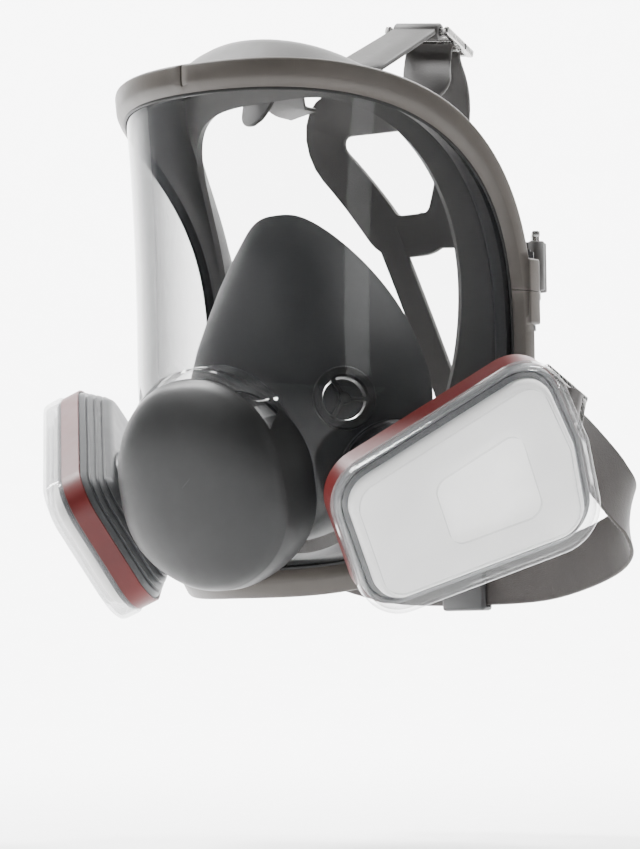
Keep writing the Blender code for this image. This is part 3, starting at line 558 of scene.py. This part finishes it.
def face_point(turn):
    """The edge of the face opening: squarer at the forehead, rounder and narrower at the chin."""
    across, height = cos(2 * pi * turn), sin(2 * pi * turn)
    if height > 0:
        across, rise = squarish(turn, 3.45)
        depth = FACE_TEMPLE_Y - FACE_FOREHEAD_BACK * rise**2
        return Vector((FACE_HALF_WIDTH * across, depth, FACE_CHEEK_Z + (FACE_TOP - FACE_CHEEK_Z) * rise))
    drop = (FACE_CHIN - FACE_CHEEK_Z) * abs(height)
    depth = FACE_TEMPLE_Y - FACE_CHIN_BACK * height**2
    return Vector((FACE_HALF_WIDTH * power(across, 0.9), depth, FACE_CHEEK_Z + drop))


def adapter_frame():
    """The central adapter's axes: local Z points out of the front of the mask."""
    axis = (0, -cos(ADAPTER_TILT), -sin(ADAPTER_TILT))
    return frame_matrix(lens_point(0, ADAPTER_Z), (1, 0, 0), axis)


def port_frame(side):
    """A side port's axes: local Z out along the port, local X towards the cartridge's wide end."""
    x, y, z = PORT_AT
    across, ahead = sin(PORT_AZIMUTH) * cos(PORT_DOWN), cos(PORT_AZIMUTH) * cos(PORT_DOWN)
    axis = Vector((side * across, -ahead, -sin(PORT_DOWN)))
    level = Vector((side * cos(PORT_AZIMUTH), sin(PORT_AZIMUTH), 0))
    rise = axis.cross(level) * (1 if axis.cross(level).z > 0 else -1)
    length = level * cos(CARTRIDGE_RISE) + rise * sin(CARTRIDGE_RISE)
    return frame_matrix((side * x, y, z), length, axis)


def buckle_frame(kind, side):
    """A buckle's axes: local Y runs along its strap, local Z out of its face, its bar at the origin."""
    at, along, outside = (Vector((side * x, y, z)) for x, y, z in BUCKLES[kind])
    return frame_matrix(at, along.cross(outside), outside)


def lug_frame(side):
    """A side lug's axes: local X points out, local Z up along the screw."""
    here = lens_point(pi / 2, SEAM_Z)
    return Matrix.Translation(Vector((side * (here.x + 0.5), here.y + BAND_OUT, SEAM_Z)) * MM)


def cup_valve_frame(side):
    """A nose-cup valve's axes: local Z points out of the cup."""
    return frame_matrix((side * 38, -36, -24), (0, 0, 1), (side * 0.78, -0.6, 0.14))


# ---------------------------------------------------------------- lens and frame


def lens():
    """The clear lens, with its front collar and side bosses bored through."""
    columns, rows = 96, 72
    points, faces = [], []
    for j in range(rows + 1):
        for i in range(columns + 1):
            a, b = 2 * i / columns - 1, 2 * j / rows - 1
            across = a * (1 - abs(b) ** RIM_EXPONENT / 2) ** (1 / RIM_EXPONENT)
            height = b * (1 - abs(a) ** RIM_EXPONENT / 2) ** (1 / RIM_EXPONENT)
            points.append(lens_point(across * pi / 2, RIM_CENTRE_Z + RIM_HALF_HEIGHT * height) * MM)
    for j in range(rows):
        for i in range(columns):
            k = j * (columns + 1) + i
            faces.append((k, k + 1, k + columns + 2, k + columns + 1))
    mesh = bpy.data.meshes.new("lens_shell")
    mesh.from_pydata(points, [], faces)
    shell = new_object("lens_shell", mesh)
    solidify = shell.modifiers.new("thickness", "SOLIDIFY")
    solidify.thickness = LENS_T * MM
    solidify.offset = -1
    solidify.use_even_offset = True
    apply_modifiers(shell)
    tidy(shell)
    matrix = adapter_frame()
    combine(shell, [disc("room", COLLAR_BORE_R + 5, -40, 40, matrix, 0.3, 96)], "DIFFERENCE")
    collar = tube_ring("collar", COLLAR_BORE_R, COLLAR_R, -14, COLLAR_OUT, matrix, 0.8, 96)
    combine(shell, [collar], "UNION")
    for side in SIDES.values():
        matrix = port_frame(side)
        combine(shell, [disc("room", PORT_BORE_R + 3, -20, 20, matrix)], "DIFFERENCE")
        boss = tube_ring("boss", PORT_BORE_R, PORT_BOSS_R, -8, PORT_FACE, matrix, 0.8)
        combine(shell, [boss], "UNION")
    finish_piece(shell, MASK, "lens_clear", "lens")


def frame_halves():
    """The upper and lower frame, with a chamfered band, a lug on each side and a groove at the brow."""
    section = [
        (-5, 0.5), (-5.1, 0.9), (-4.9, 1.35), (-2.0, 3.2), (-1.2, BAND_PROUD - 0.15), (-0.6, BAND_PROUD),
        (BAND_OUT - 1.3, BAND_PROUD), (BAND_OUT - 0.5, BAND_PROUD - 0.25), (BAND_OUT - 0.1, BAND_PROUD - 0.8),
        (BAND_OUT, BAND_PROUD - 1.5), (BAND_OUT, -2.6), (BAND_OUT - 0.5, -2.9), (BAND_OUT - 0.5, -3.5),
        (BAND_OUT, -3.8), (BAND_OUT, BAND_BACK + 0.8), (BAND_OUT - 0.8, BAND_BACK), (2.8, BAND_BACK),
        (2.4, BAND_BACK + 0.4), (2.4, 0.5),
    ]
    band = rim_sweep("band", section)
    lugs = []
    for side in SIDES.values():
        lugs.append(block("lug", (8, 7, 2 * LUG_HALF_HEIGHT), (0, 0, 0), lug_frame(side), 0.9))
    combine(band, lugs, "UNION")
    groove = block("groove", (1.1, 3, 40), (0, 0, 0), Matrix.Translation(Vector((0, -85, 101)) * MM))
    combine(band, [groove], "DIFFERENCE")
    for name, low, high in (
        ("upper_frame", SEAM_Z + 0.15, SEAM_Z + 200),
        ("lower_frame", SEAM_Z - 200, SEAM_Z - 0.15),
    ):
        half = new_object(f"{name}_shell", band.data.copy())
        slab = block("slab", (400, 400, high - low), (0, 0, (low + high) / 2), Matrix())
        combine(half, [slab], "INTERSECT")
        finish_piece(half, MASK, "frame_taupe", name)
    bpy.data.objects.remove(band, do_unlink=True)
    # Painted shadow: a thin near-black strip on the lens along the frame's inner edge stands for the shadowed
    # gap between frame and lens. It is not a real part.
    gap_shadow = rim_sweep("lens_gap_shadow", [(-4.9, 0.1), (-6.0, 0.1), (-6.2, 0.45), (-5.9, 0.8), (-4.9, 0.9)])
    finish_piece(gap_shadow, MASK, "valve_rubber")


# ---------------------------------------------------------------- seal, nose cup and their tabs


def seal_path(turn):
    """The seal's outer side, from its bead behind the lens, round its roll, to the face opening."""
    here, outward, normal = rim_frame(turn)
    opening = face_point(turn)
    top = max(0, sin(2 * pi * turn)) ** 3
    bead = here + outward * 1.2 - normal * 3.2
    heel = here + outward * 1.2 - normal * 10.1
    slope = heel.lerp(opening, 0.3) + Vector((0, 3 - top, ROLL_RISE * 0.75 * top))
    roll = heel.lerp(opening, 0.66) + Vector((0, 3 - 5 * top, ROLL_RISE * top))
    return [bead, heel, slope, roll, opening]


def seal_section(turn):
    """A closed section: out along the seal's outer side and back along its inner side."""
    outer = seal_path(turn)
    ahead, behind = seal_path(turn + 0.004), seal_path(turn - 0.004)
    here, outward, normal = rim_frame(turn)
    inner = [here - outward * 4.5 - normal * 3.2, here - outward * 3.5 - normal * 9.0]
    for index in (2, 3, 4):
        way = outer[min(index + 1, 4)] - outer[index - 1]
        through = (ahead[index] - behind[index]).cross(way).normalized()
        inner.append(outer[index] + through * SEAL_T)
    return finer(outer) + finer(inner)[::-1]


def finer(points):
    """The same run of points with a smooth one between each pair."""
    return smooth_path(points, 3)


def strap_tab(kind, side, root, bend, root_half):
    """A tab that curves and tapers from the seal to the knuckle round a buckle's bar."""
    matrix = buckle_frame(kind, side)
    across = matrix.to_3x3() @ Vector((1, 0, 0))
    rise = matrix.to_3x3() @ Vector((0, 0, 1))
    start = Vector((side * root[0], root[1], root[2]))
    middle = Vector((side * bend[0], bend[1], bend[2]))
    end = matrix @ (Vector((0, -1.6, 0)) * MM) / MM
    sections = []
    for step in range(13):
        part = step / 12
        half = root_half + (9.5 - root_half) * part
        here = start.lerp(middle, part).lerp(middle.lerp(end, part), part)
        outline = ((-1, 0.5), (-0.95, 1), (0, 1), (0.95, 1), (1, 0.5))
        outline += ((1, -0.5), (0.95, -1), (-0.95, -1), (-1, -0.5))
        sections.append([here + across * x * half + rise * y * 1.4 for x, y in outline])
    tab = loft("tab", sections, False)
    turn = matrix @ Matrix.Rotation(pi / 2, 4, "Y")
    combine(tab, [disc("knuckle", 3.3, -9.8, 9.8, turn, 0.5, 40)], "UNION")
    return combine(tab, [disc("pin_hole", 1.8, -20, 20, turn, 0.1, 40)], "DIFFERENCE")


def face_seal():
    """The soft seal between the frame and the face, with the tabs that its straps start from."""
    steps = 176
    seal = loft("face_seal_skin", [seal_section(i / steps) for i in range(steps)])
    tabs = []
    for kind, way in TAB_ROOTS.items():
        for side in SIDES.values():
            tabs.append(strap_tab(kind, side, *way))
    combine(seal, tabs, "UNION", 50)
    finish_piece(seal, MASK, "seal_grey", "face_seal")


def cup_edge(turn):
    """Where the nose cup meets the face: over the nose, past the cheeks and under the chin."""
    across, height = cos(2 * pi * turn), sin(2 * pi * turn)
    if height > 0:
        across = power(across, 0.7)
        return Vector((50 * across * (1 - 0.35 * height**3), 6 - 34 * height**1.3, -20 + 72 * height))
    return Vector((50 * across, 6 - 26 * height**2, -20 + 57 * height))


def cup_path(turn):
    """The nose cup's outer side, from its neck on the adapter to the face."""
    matrix = adapter_frame()
    across, height = cos(2 * pi * turn), sin(2 * pi * turn)
    neck = [matrix @ (Vector((27.5 * across, 27.5 * height, -depth)) * MM) / MM for depth in (24, 31)]
    edge = cup_edge(turn)
    shoulder = neck[1].lerp(edge, 0.36) + Vector((9 * across, -5, 2 * height))
    brow = neck[1].lerp(edge, 0.75) + Vector((4 * across, -5, 1 * height))
    return [*neck, shoulder, brow, edge]


def nose_cup():
    """The inner mask over the nose and mouth, with a rolled edge and a hole for each valve seat."""
    steps = 144
    middle = Vector((0, -30, -27))
    sections = []
    for i in range(steps):
        path = finer(cup_path(i / steps))
        inner = []
        for j, point in enumerate(path):
            if j < 4:
                axis = adapter_frame() @ (Vector((0, 0, -24 - 7 * j / 3)) * MM) / MM
                inner.append(point + (axis - point).normalized() * 2)
            else:
                inner.append(point + (middle - point).normalized() * 2 + Vector((0, 1.2, 0)))
        sections.append(path + inner[::-1])
    cup = loft("nose_cup_skin", sections)
    holes = [disc("hole", 10.8, -12, 12, cup_valve_frame(side)) for side in SIDES.values()]
    combine(cup, holes, "DIFFERENCE", 50)
    finish_piece(cup, MASK, "cup_grey", "nose_cup")


def nose_cup_valves():
    """On each side of the nose cup, a flanged seat with three spokes over a thin flap."""
    for name, side in SIDES.items():
        matrix = cup_valve_frame(side)
        profile = [
            (12.1, 5), (12.5, 4.6), (12.5, 3.5), (12.2, 3.2), (10.4, 3.2), (10.4, -6), (8.6, -6), (8.6, 3.6),
            (9.2, 5),
        ]
        seat = turned(f"valve_seat_{name}", profile, matrix)
        extras = [disc("hub", 2.4, 2.2, 4.4, matrix, 0.4, 32)]
        for index in range(3):
            turn = matrix @ Matrix.Rotation(0.5 + index * 2 * pi / 3, 4, "Z")
            extras.append(block("spoke", (8.2, 1.7, 1.6), (4.9, 0, 3.2), turn, 0.3))
        combine(seat, extras, "UNION")
        finish_piece(seat, MASK, "valve_rubber", f"nose_cup_valve_seat_{name}")
        flap = disc(f"valve_flap_{name}", 8.0, 0.6, 1.4, matrix)
        finish_piece(flap, f"nose_cup_valve_flap_{name}", "valve_rubber", f"nose_cup_valve_flap_{name}")


# ---------------------------------------------------------------- central adapter and cover


def cover_edge(angle):
    """The exhalation cover's outline at this angle: a shield, widest above its middle, flat below."""
    across, height = cos(angle), sin(angle)
    if height >= 0:
        return Vector((COVER_HALF_WIDTH * power(across, 0.95), COVER_TOP * height))
    narrowing = 1 - 0.26 * height**2
    return Vector((COVER_HALF_WIDTH * power(across, 0.85) * narrowing, COVER_FOOT * -power(-height, 0.66)))


def exhalation_cover():
    """The smooth shield over the exhalation valve: a domed front, and a wall going back from it that
    reaches furthest at the sides."""
    matrix = adapter_frame()
    fronts = smooth_path([(0.02, 0, 0), (0.45, 0.8, 0), (0.75, 3.4, 0), (0.93, 7.4, 0), (1, 11.5, 0)], 5)
    around = 128
    sections = []
    for level in range(2 * len(fronts) + 2):
        section = []
        for i in range(around):
            angle = i * 2 * pi / around
            edge = cover_edge(angle)
            back = COVER_FRONT - 17 - 11 * cos(angle) ** 2
            if level < len(fronts):
                size, drop, _ = fronts[level]
                height = COVER_FRONT - drop
            elif level < len(fronts) + 2:
                size, height = (1.02, back) if level == len(fronts) else (1.02 * 0.953, back)
            else:
                size, drop, _ = fronts[2 * len(fronts) + 1 - level]
                size *= 0.953
                height = COVER_FRONT - drop - 2
            section.append(matrix @ (Vector((edge.x * size, edge.y * size - 4, height)) * MM) / MM)
        sections.append(section)
    cover = loft("cover_shell", sections, False)
    room = disc("collar_room", COLLAR_R + 0.3, -60, COLLAR_OUT + 0.3, matrix, 0.1, 96)
    combine(cover, [room], "DIFFERENCE", 50)
    finish_piece(cover, "exhalation_cover", "cover_black", "exhalation_cover")


# ---------------------------------------------------------------- cartridges


def cartridge_outline(grow=0, bow=4):
    """The cartridge's rounded trapezoid, wide end at +X and a little bowed, grown by this much."""
    slope = atan2(WIDE_HALF - NARROW_HALF, WIDE_END - NARROW_END)
    out = grow / cos(slope)
    drop = grow * sin(slope) / cos(slope)
    corners = [
        (NARROW_END - grow, -(NARROW_HALF + out - drop)),
        (WIDE_END + grow - bow, -(WIDE_HALF + out + drop)),
        (WIDE_END + grow, 0),
        (WIDE_END + grow - bow, WIDE_HALF + out + drop),
        (NARROW_END - grow, NARROW_HALF + out - drop),
    ]
    return rounded(corners, CORNER_R + grow)


def stacked(name, levels, matrix):
    """A solid whose outline is the cartridge's, grown and placed by each (grow, height) level."""
    sections = []
    for grow, height in levels:
        outline = cartridge_outline(grow)
        sections.append([matrix @ (Vector((x, y, height)) * MM) / MM for x, y in outline])
    return loft(name, sections, False)


def cartridge_body(name, matrix):
    """The open-fronted shell, ribbed round its side and drawn in to the bayonet collar behind."""
    front, shoulder = CARTRIDGE_FRONT, CARTRIDGE_BACK + 10
    levels = [(-10.5, CARTRIDGE_BACK), (-8.6, CARTRIDGE_BACK + 0.2), (-7.6, CARTRIDGE_BACK + 1)]
    for step in range(3):
        at = CARTRIDGE_BACK + 2.4 + step * 2.4
        grow = -7.1 + (at - CARTRIDGE_BACK - 1) * 0.78
        levels += [(grow, at), (grow - 0.5, at + 0.4), (grow - 0.3, at + 0.9), (grow + 0.9, at + 1.3)]
    levels += [(-0.4, shoulder), (0, shoulder + 0.7), (0, front - 0.4), (-0.4, front)]
    levels += [(-1.4, front), (-1.8, front - 0.4)]
    levels += [(-2.3, shoulder + 1), (-10.5, CARTRIDGE_BACK + 1.8)]
    body = stacked(f"cartridge_shell_{name}", levels, matrix)
    combine(body, [tube_ring("collar", 20.6, 23, PORT_FACE + 1, CARTRIDGE_BACK + 1, matrix)], "UNION")
    cuts = [disc("bore", 16.1, 0, CARTRIDGE_BACK + 4, matrix)]
    for index in range(3):
        turn = Matrix.Rotation(index * 2 * pi / 3 - pi / 4, 4, "Z")
        cuts.append(block("notch", (5, 8.4, 8), (16.8, 0, CARTRIDGE_BACK + 1), matrix @ turn))
    combine(body, cuts, "DIFFERENCE")
    finish_piece(body, f"cartridge_{name}", "cartridge_grey", f"cartridge_body_{name}")


def label_band(name, matrix):
    """The thin label round the cartridge's side, behind the retainer's skirt."""
    low, high = CARTRIDGE_BACK + 10.4, CARTRIDGE_FRONT - 2.4
    band = stacked(f"label_{name}", [(0.85, low), (1, low + 0.2), (1, high - 0.2), (0.85, high)], matrix)
    combine(band, [stacked("inside", [(0.3, 0), (0.3, 60)], matrix)], "DIFFERENCE")
    finish_piece(band, f"cartridge_{name}", "label_maroon", f"label_band_{name}")


def filter_pad(name, matrix):
    """The felted pad under the retainer, its edge pressed thinner than its middle."""
    low, high = CARTRIDGE_FRONT + 0.3, CARTRIDGE_FRONT + 5
    levels = [(-4.4, low), (-4, low + 0.6), (-4, high - 2), (-4.3, high - 1.2)]
    levels += [(-5.2, high - 0.5), (-7, high - 0.1), (-9, high)]
    pad = stacked(f"pad_{name}", levels, matrix)
    finish_piece(pad, f"cartridge_{name}", "pad_white", f"filter_pad_{name}")


def retainer(name, matrix):
    """The clear snap-on retainer: a skirt, a stepped face and an open window in it."""
    low, shelf = CARTRIDGE_FRONT - 2, CARTRIDGE_FRONT + 6.5
    levels = [
        (0.3, low), (1.6, low), (1.9, low + 0.4), (1.9, shelf - 2.4), (1.5, shelf - 1), (0.4, shelf - 0.2),
        (-1, shelf), (-5, shelf), (-5.4, shelf + 0.3), (-6.2, RETAINER_FRONT - 0.4), (-7, RETAINER_FRONT),
        (-8.5, RETAINER_FRONT), (-8.5, RETAINER_FRONT - 1.5), (-7.4, RETAINER_FRONT - 1.5),
        (-6.6, RETAINER_FRONT - 2), (-6.6, shelf - 1.4), (0, shelf - 1.4), (0.3, shelf - 1.8),
    ]
    top = stacked("top", [(-8.4, RETAINER_FRONT - 1.5), (-8.4, RETAINER_FRONT)], matrix)
    sections = []
    for grow, height in levels:
        sections.append([matrix @ (Vector((x, y, height)) * MM) / MM for x, y in cartridge_outline(grow)])
    skirt = loft(f"retainer_shell_{name}", sections)
    combine(skirt, [top], "UNION", 40)
    corners = [(2, -14), (40, -19), (40, 19), (2, 14)]
    window = [[matrix @ (Vector((x, y, z)) * MM) / MM for x, y in rounded(corners, 6)] for z in (20, 60)]
    combine(skirt, [loft("window", window, False)], "DIFFERENCE", 40)
    finish_piece(skirt, f"retainer_{name}", "retainer_clear", f"retainer_{name}")


def cartridges():
    """Both sides' cartridges."""
    for name, side in SIDES.items():
        matrix = port_frame(side)
        cartridge_body(name, matrix)
        label_band(name, matrix)
        filter_pad(name, matrix)
        retainer(name, matrix)


# ---------------------------------------------------------------- harness, straps and buckles


def buckle(kind, name, side):
    """A ladder buckle with rounded bars and a knurled roller."""
    matrix = buckle_frame(kind, side)
    across = matrix @ Matrix.Rotation(pi / 2, 4, "Y")
    rail = RAIL_X[kind]
    body = block(f"{kind}_ladder_{name}", (2.6, 26, 3), (rail, 11, 0), matrix, 0.5)
    parts = [
        block("rail", (2.6, 26, 3), (-rail, 11, 0), matrix, 0.5),
        disc("bar", 1.4, -rail, rail, across, 0.1, 32),
        block("middle", (2 * rail, 2.6, 2.2), (0, 9.2, 0), matrix, 0.5),
        block("end", (2 * rail, 2.6, 2.6), (0, 22.5, 0), matrix, 0.5),
    ]
    combine(body, parts, "UNION")
    spin = matrix @ Matrix.Translation((0, ROLLER_Y * MM, 0)) @ Matrix.Rotation(pi / 2, 4, "Y")
    combine(body, [disc("pin_hole", 1.2, -20, 20, spin, 0.1, 24)], "DIFFERENCE")
    finish_piece(body, MASK, "steel", f"{kind}_buckle_{name}")
    end = rail - 1.3 - 0.3
    sections = []
    for i in range(48):
        angle = 2 * pi * i / 48
        knurl = ROLLER_R - (0.3 if i % 3 == 0 else 0)
        profile = [(0, rail + 1), (0.9, rail + 1), (0.9, end), (knurl - 0.3, end), (knurl, end - 0.3)]
        profile += [(radius, -height) for radius, height in reversed(profile)]
        sections.append([spin @ (Vector((r * cos(angle), r * sin(angle), h)) * MM) / MM for r, h in profile])
    roller = loft(f"{kind}_knurl_{name}", sections, True, False)
    finish_piece(roller, f"{kind}_roller_{name}", "steel", f"{kind}_roller_{name}")


def strap_loop(kind, side):
    """A strap's run through its buckle, from its hanging tail, over the roller, to its way out."""
    matrix = buckle_frame(kind, side)
    across = matrix.to_3x3() @ Vector((1, 0, 0))
    lean = TAIL_LEAN if kind == "top" else 0
    loop = [(lean, 6.5, -27), (lean / 3, 9.5, -15), (0, 12.1, -5), (0, 12.1, 0), (0, 12.8, 2.7)]
    loop += [(0, 15.5, 3.8), (0, 18.2, 2.7), (0, 19, -0.6), (0, 22, -4)]
    return [(matrix @ (Vector((x, y, z)) * MM) / MM, across) for x, y, z in loop]


def straps():
    """The top, temple and neck straps, from each buckle to the head web or the neck clip."""
    ends = {
        ("top", "left"): [((38, 34, 106), (1, 0.2, 0)), ((32, 46, 95), (0.8, 0, -0.5))],
        ("top", "right"): [((-47, 36, 108), (1, -0.1, 0)), ((-45, 44.5, 106), (1, 0, 0))],
        ("temple", "left"): [((48, 61, 40), (0.3, 0, -1)), ((31, 65, 50), (0.35, 0, -1))],
        ("temple", "right"): [((-44, 60, 27), (0.1, 0, 1)), ((-17, 65.4, 14), (0.3, 0, 1))],
    }
    for (kind, name), route in ends.items():
        full = strap_loop(kind, SIDES[name]) + [(Vector(at), Vector(way)) for at, way in route]
        made = strap(f"{kind}_band_{name}", full, STRAP_HALF, 8, rounded_end=True)
        finish_piece(made, MASK, "strap_rubber", f"{kind}_strap_{name}")
    for name, side in SIDES.items():
        route = [
            ((side * 88, 73, -54.5), (0, -0.5 * side, -0.85 * side)),
            ((side * 88, 85, -67), (0, -0.2 * side, -1 * side)),
            ((side * 76, 92, -79), (0, 0, -side)),
            ((side * 42, 95, -89), (0, 0.1 * side, -side)),
            ((side * 6, 94, -91), (0, 0, -side)),
        ]
        full = strap_loop("neck", side) + [(Vector(at), Vector(way)) for at, way in route]
        made = strap(f"neck_band_{name}", full, NECK_HALF, 16, rib=0.3)
        finish_piece(made, MASK, "webbing", f"neck_strap_{name}")


def neck_clip():
    """The clip that joins the two neck straps, with a mouth for each strap's end."""
    matrix = Matrix.Translation(Vector((0, 94, -91)) * MM)
    clip = block("neck_clip_shell", (22, 7, 28), (0, 0, 0), matrix, 1.5)
    mouths = [block("mouth", (11, 2.8, 24.8), (side * 11, 0, 0), matrix) for side in SIDES.values()]
    mouths += [block("finger_room", (30, 3, 8), (0, 4.4, 0), matrix)]
    combine(clip, mouths, "DIFFERENCE")
    finish_piece(clip, MASK, "dark_plastic", "neck_clip")


def web_depth(x, z):
    """How far back the head web lies: furthest in the middle, forward towards the top straps."""
    return 63 - 5 * (x / 50) ** 2 - 12 * max(0, (z - 60) / 45) ** 2


def web_strip(name, ends, half_width):
    """A strip of the web from one (x, z) point to another."""
    (x0, z0), (x1, z1) = ends
    route = []
    for step in range(5):
        x, z = x0 + (x1 - x0) * step / 4, z0 + (z1 - z0) * step / 4
        route.append((Vector((x, web_depth(x, z), z)), Vector((z1 - z0, 0, x0 - x1))))
    return strap(name, route, half_width, 4, 2.1)


def head_harness():
    """The flat rubber web behind the head: a ring round an opening, a side arm and a tail."""
    loop = rounded([(-53, 105), (-13, 52), (13, 52), (32, 104)], 13, 8)
    line = []
    for index, here in enumerate(loop):
        there = loop[(index + 1) % len(loop)]
        count = max(1, round((Vector(there) - Vector(here)).length / 5))
        line += [Vector(here).lerp(Vector(there), step / count) for step in range(count)]
    section = ((9, 0.5), (8.6, 1.1), (-8.6, 1.1), (-9, 0.5), (-9, -0.5), (-8.6, -1.1), (8.6, -1.1), (9, -0.5))
    sections = []
    for i, here in enumerate(line):
        along = (line[(i + 1) % len(line)] - line[i - 1]).normalized()
        row = []
        for out, depth in section:
            flat = here + Vector((along.y, -along.x)) * out
            row.append((flat.x, web_depth(flat.x, flat.y) + depth, flat.y))
        sections.append(row)
    web = loft("head_web", sections)
    strips = [
        web_strip("arm", ((2, 54), (32, 51)), 7.4),
        web_strip("tail", ((-15, 54), (20, -26)), 6),
        web_strip("foot", ((9, 4), (-16, 6)), 7),
    ]
    combine(web, strips, "UNION", 40)
    finish_piece(web, MASK, "strap_rubber", "head_harness")


# ---------------------------------------------------------------- CAD nodes that keep their shape


def dress_nodes():
    """Gives each CAD node the material of its slot."""
    slots = {row["node"]: row["material_slot"] for row in frame["record"]["subparts"]}
    for name, obj in frame["nodes"].items():
        obj.data.materials.clear()
        plain = name.startswith("frame_")
        obj.data.materials.append(MATERIALS["dark_plastic" if plain else slots[name]])


camera()
MATERIALS = all_materials()
studio()
dress_nodes()
lens()
frame_halves()
face_seal()
nose_cup()
nose_cup_valves()
exhalation_cover()
cartridges()
for side_name, side_sign in SIDES.items():
    for buckle_kind in BUCKLES:
        buckle(buckle_kind, side_name, side_sign)
straps()
neck_clip()
head_harness()
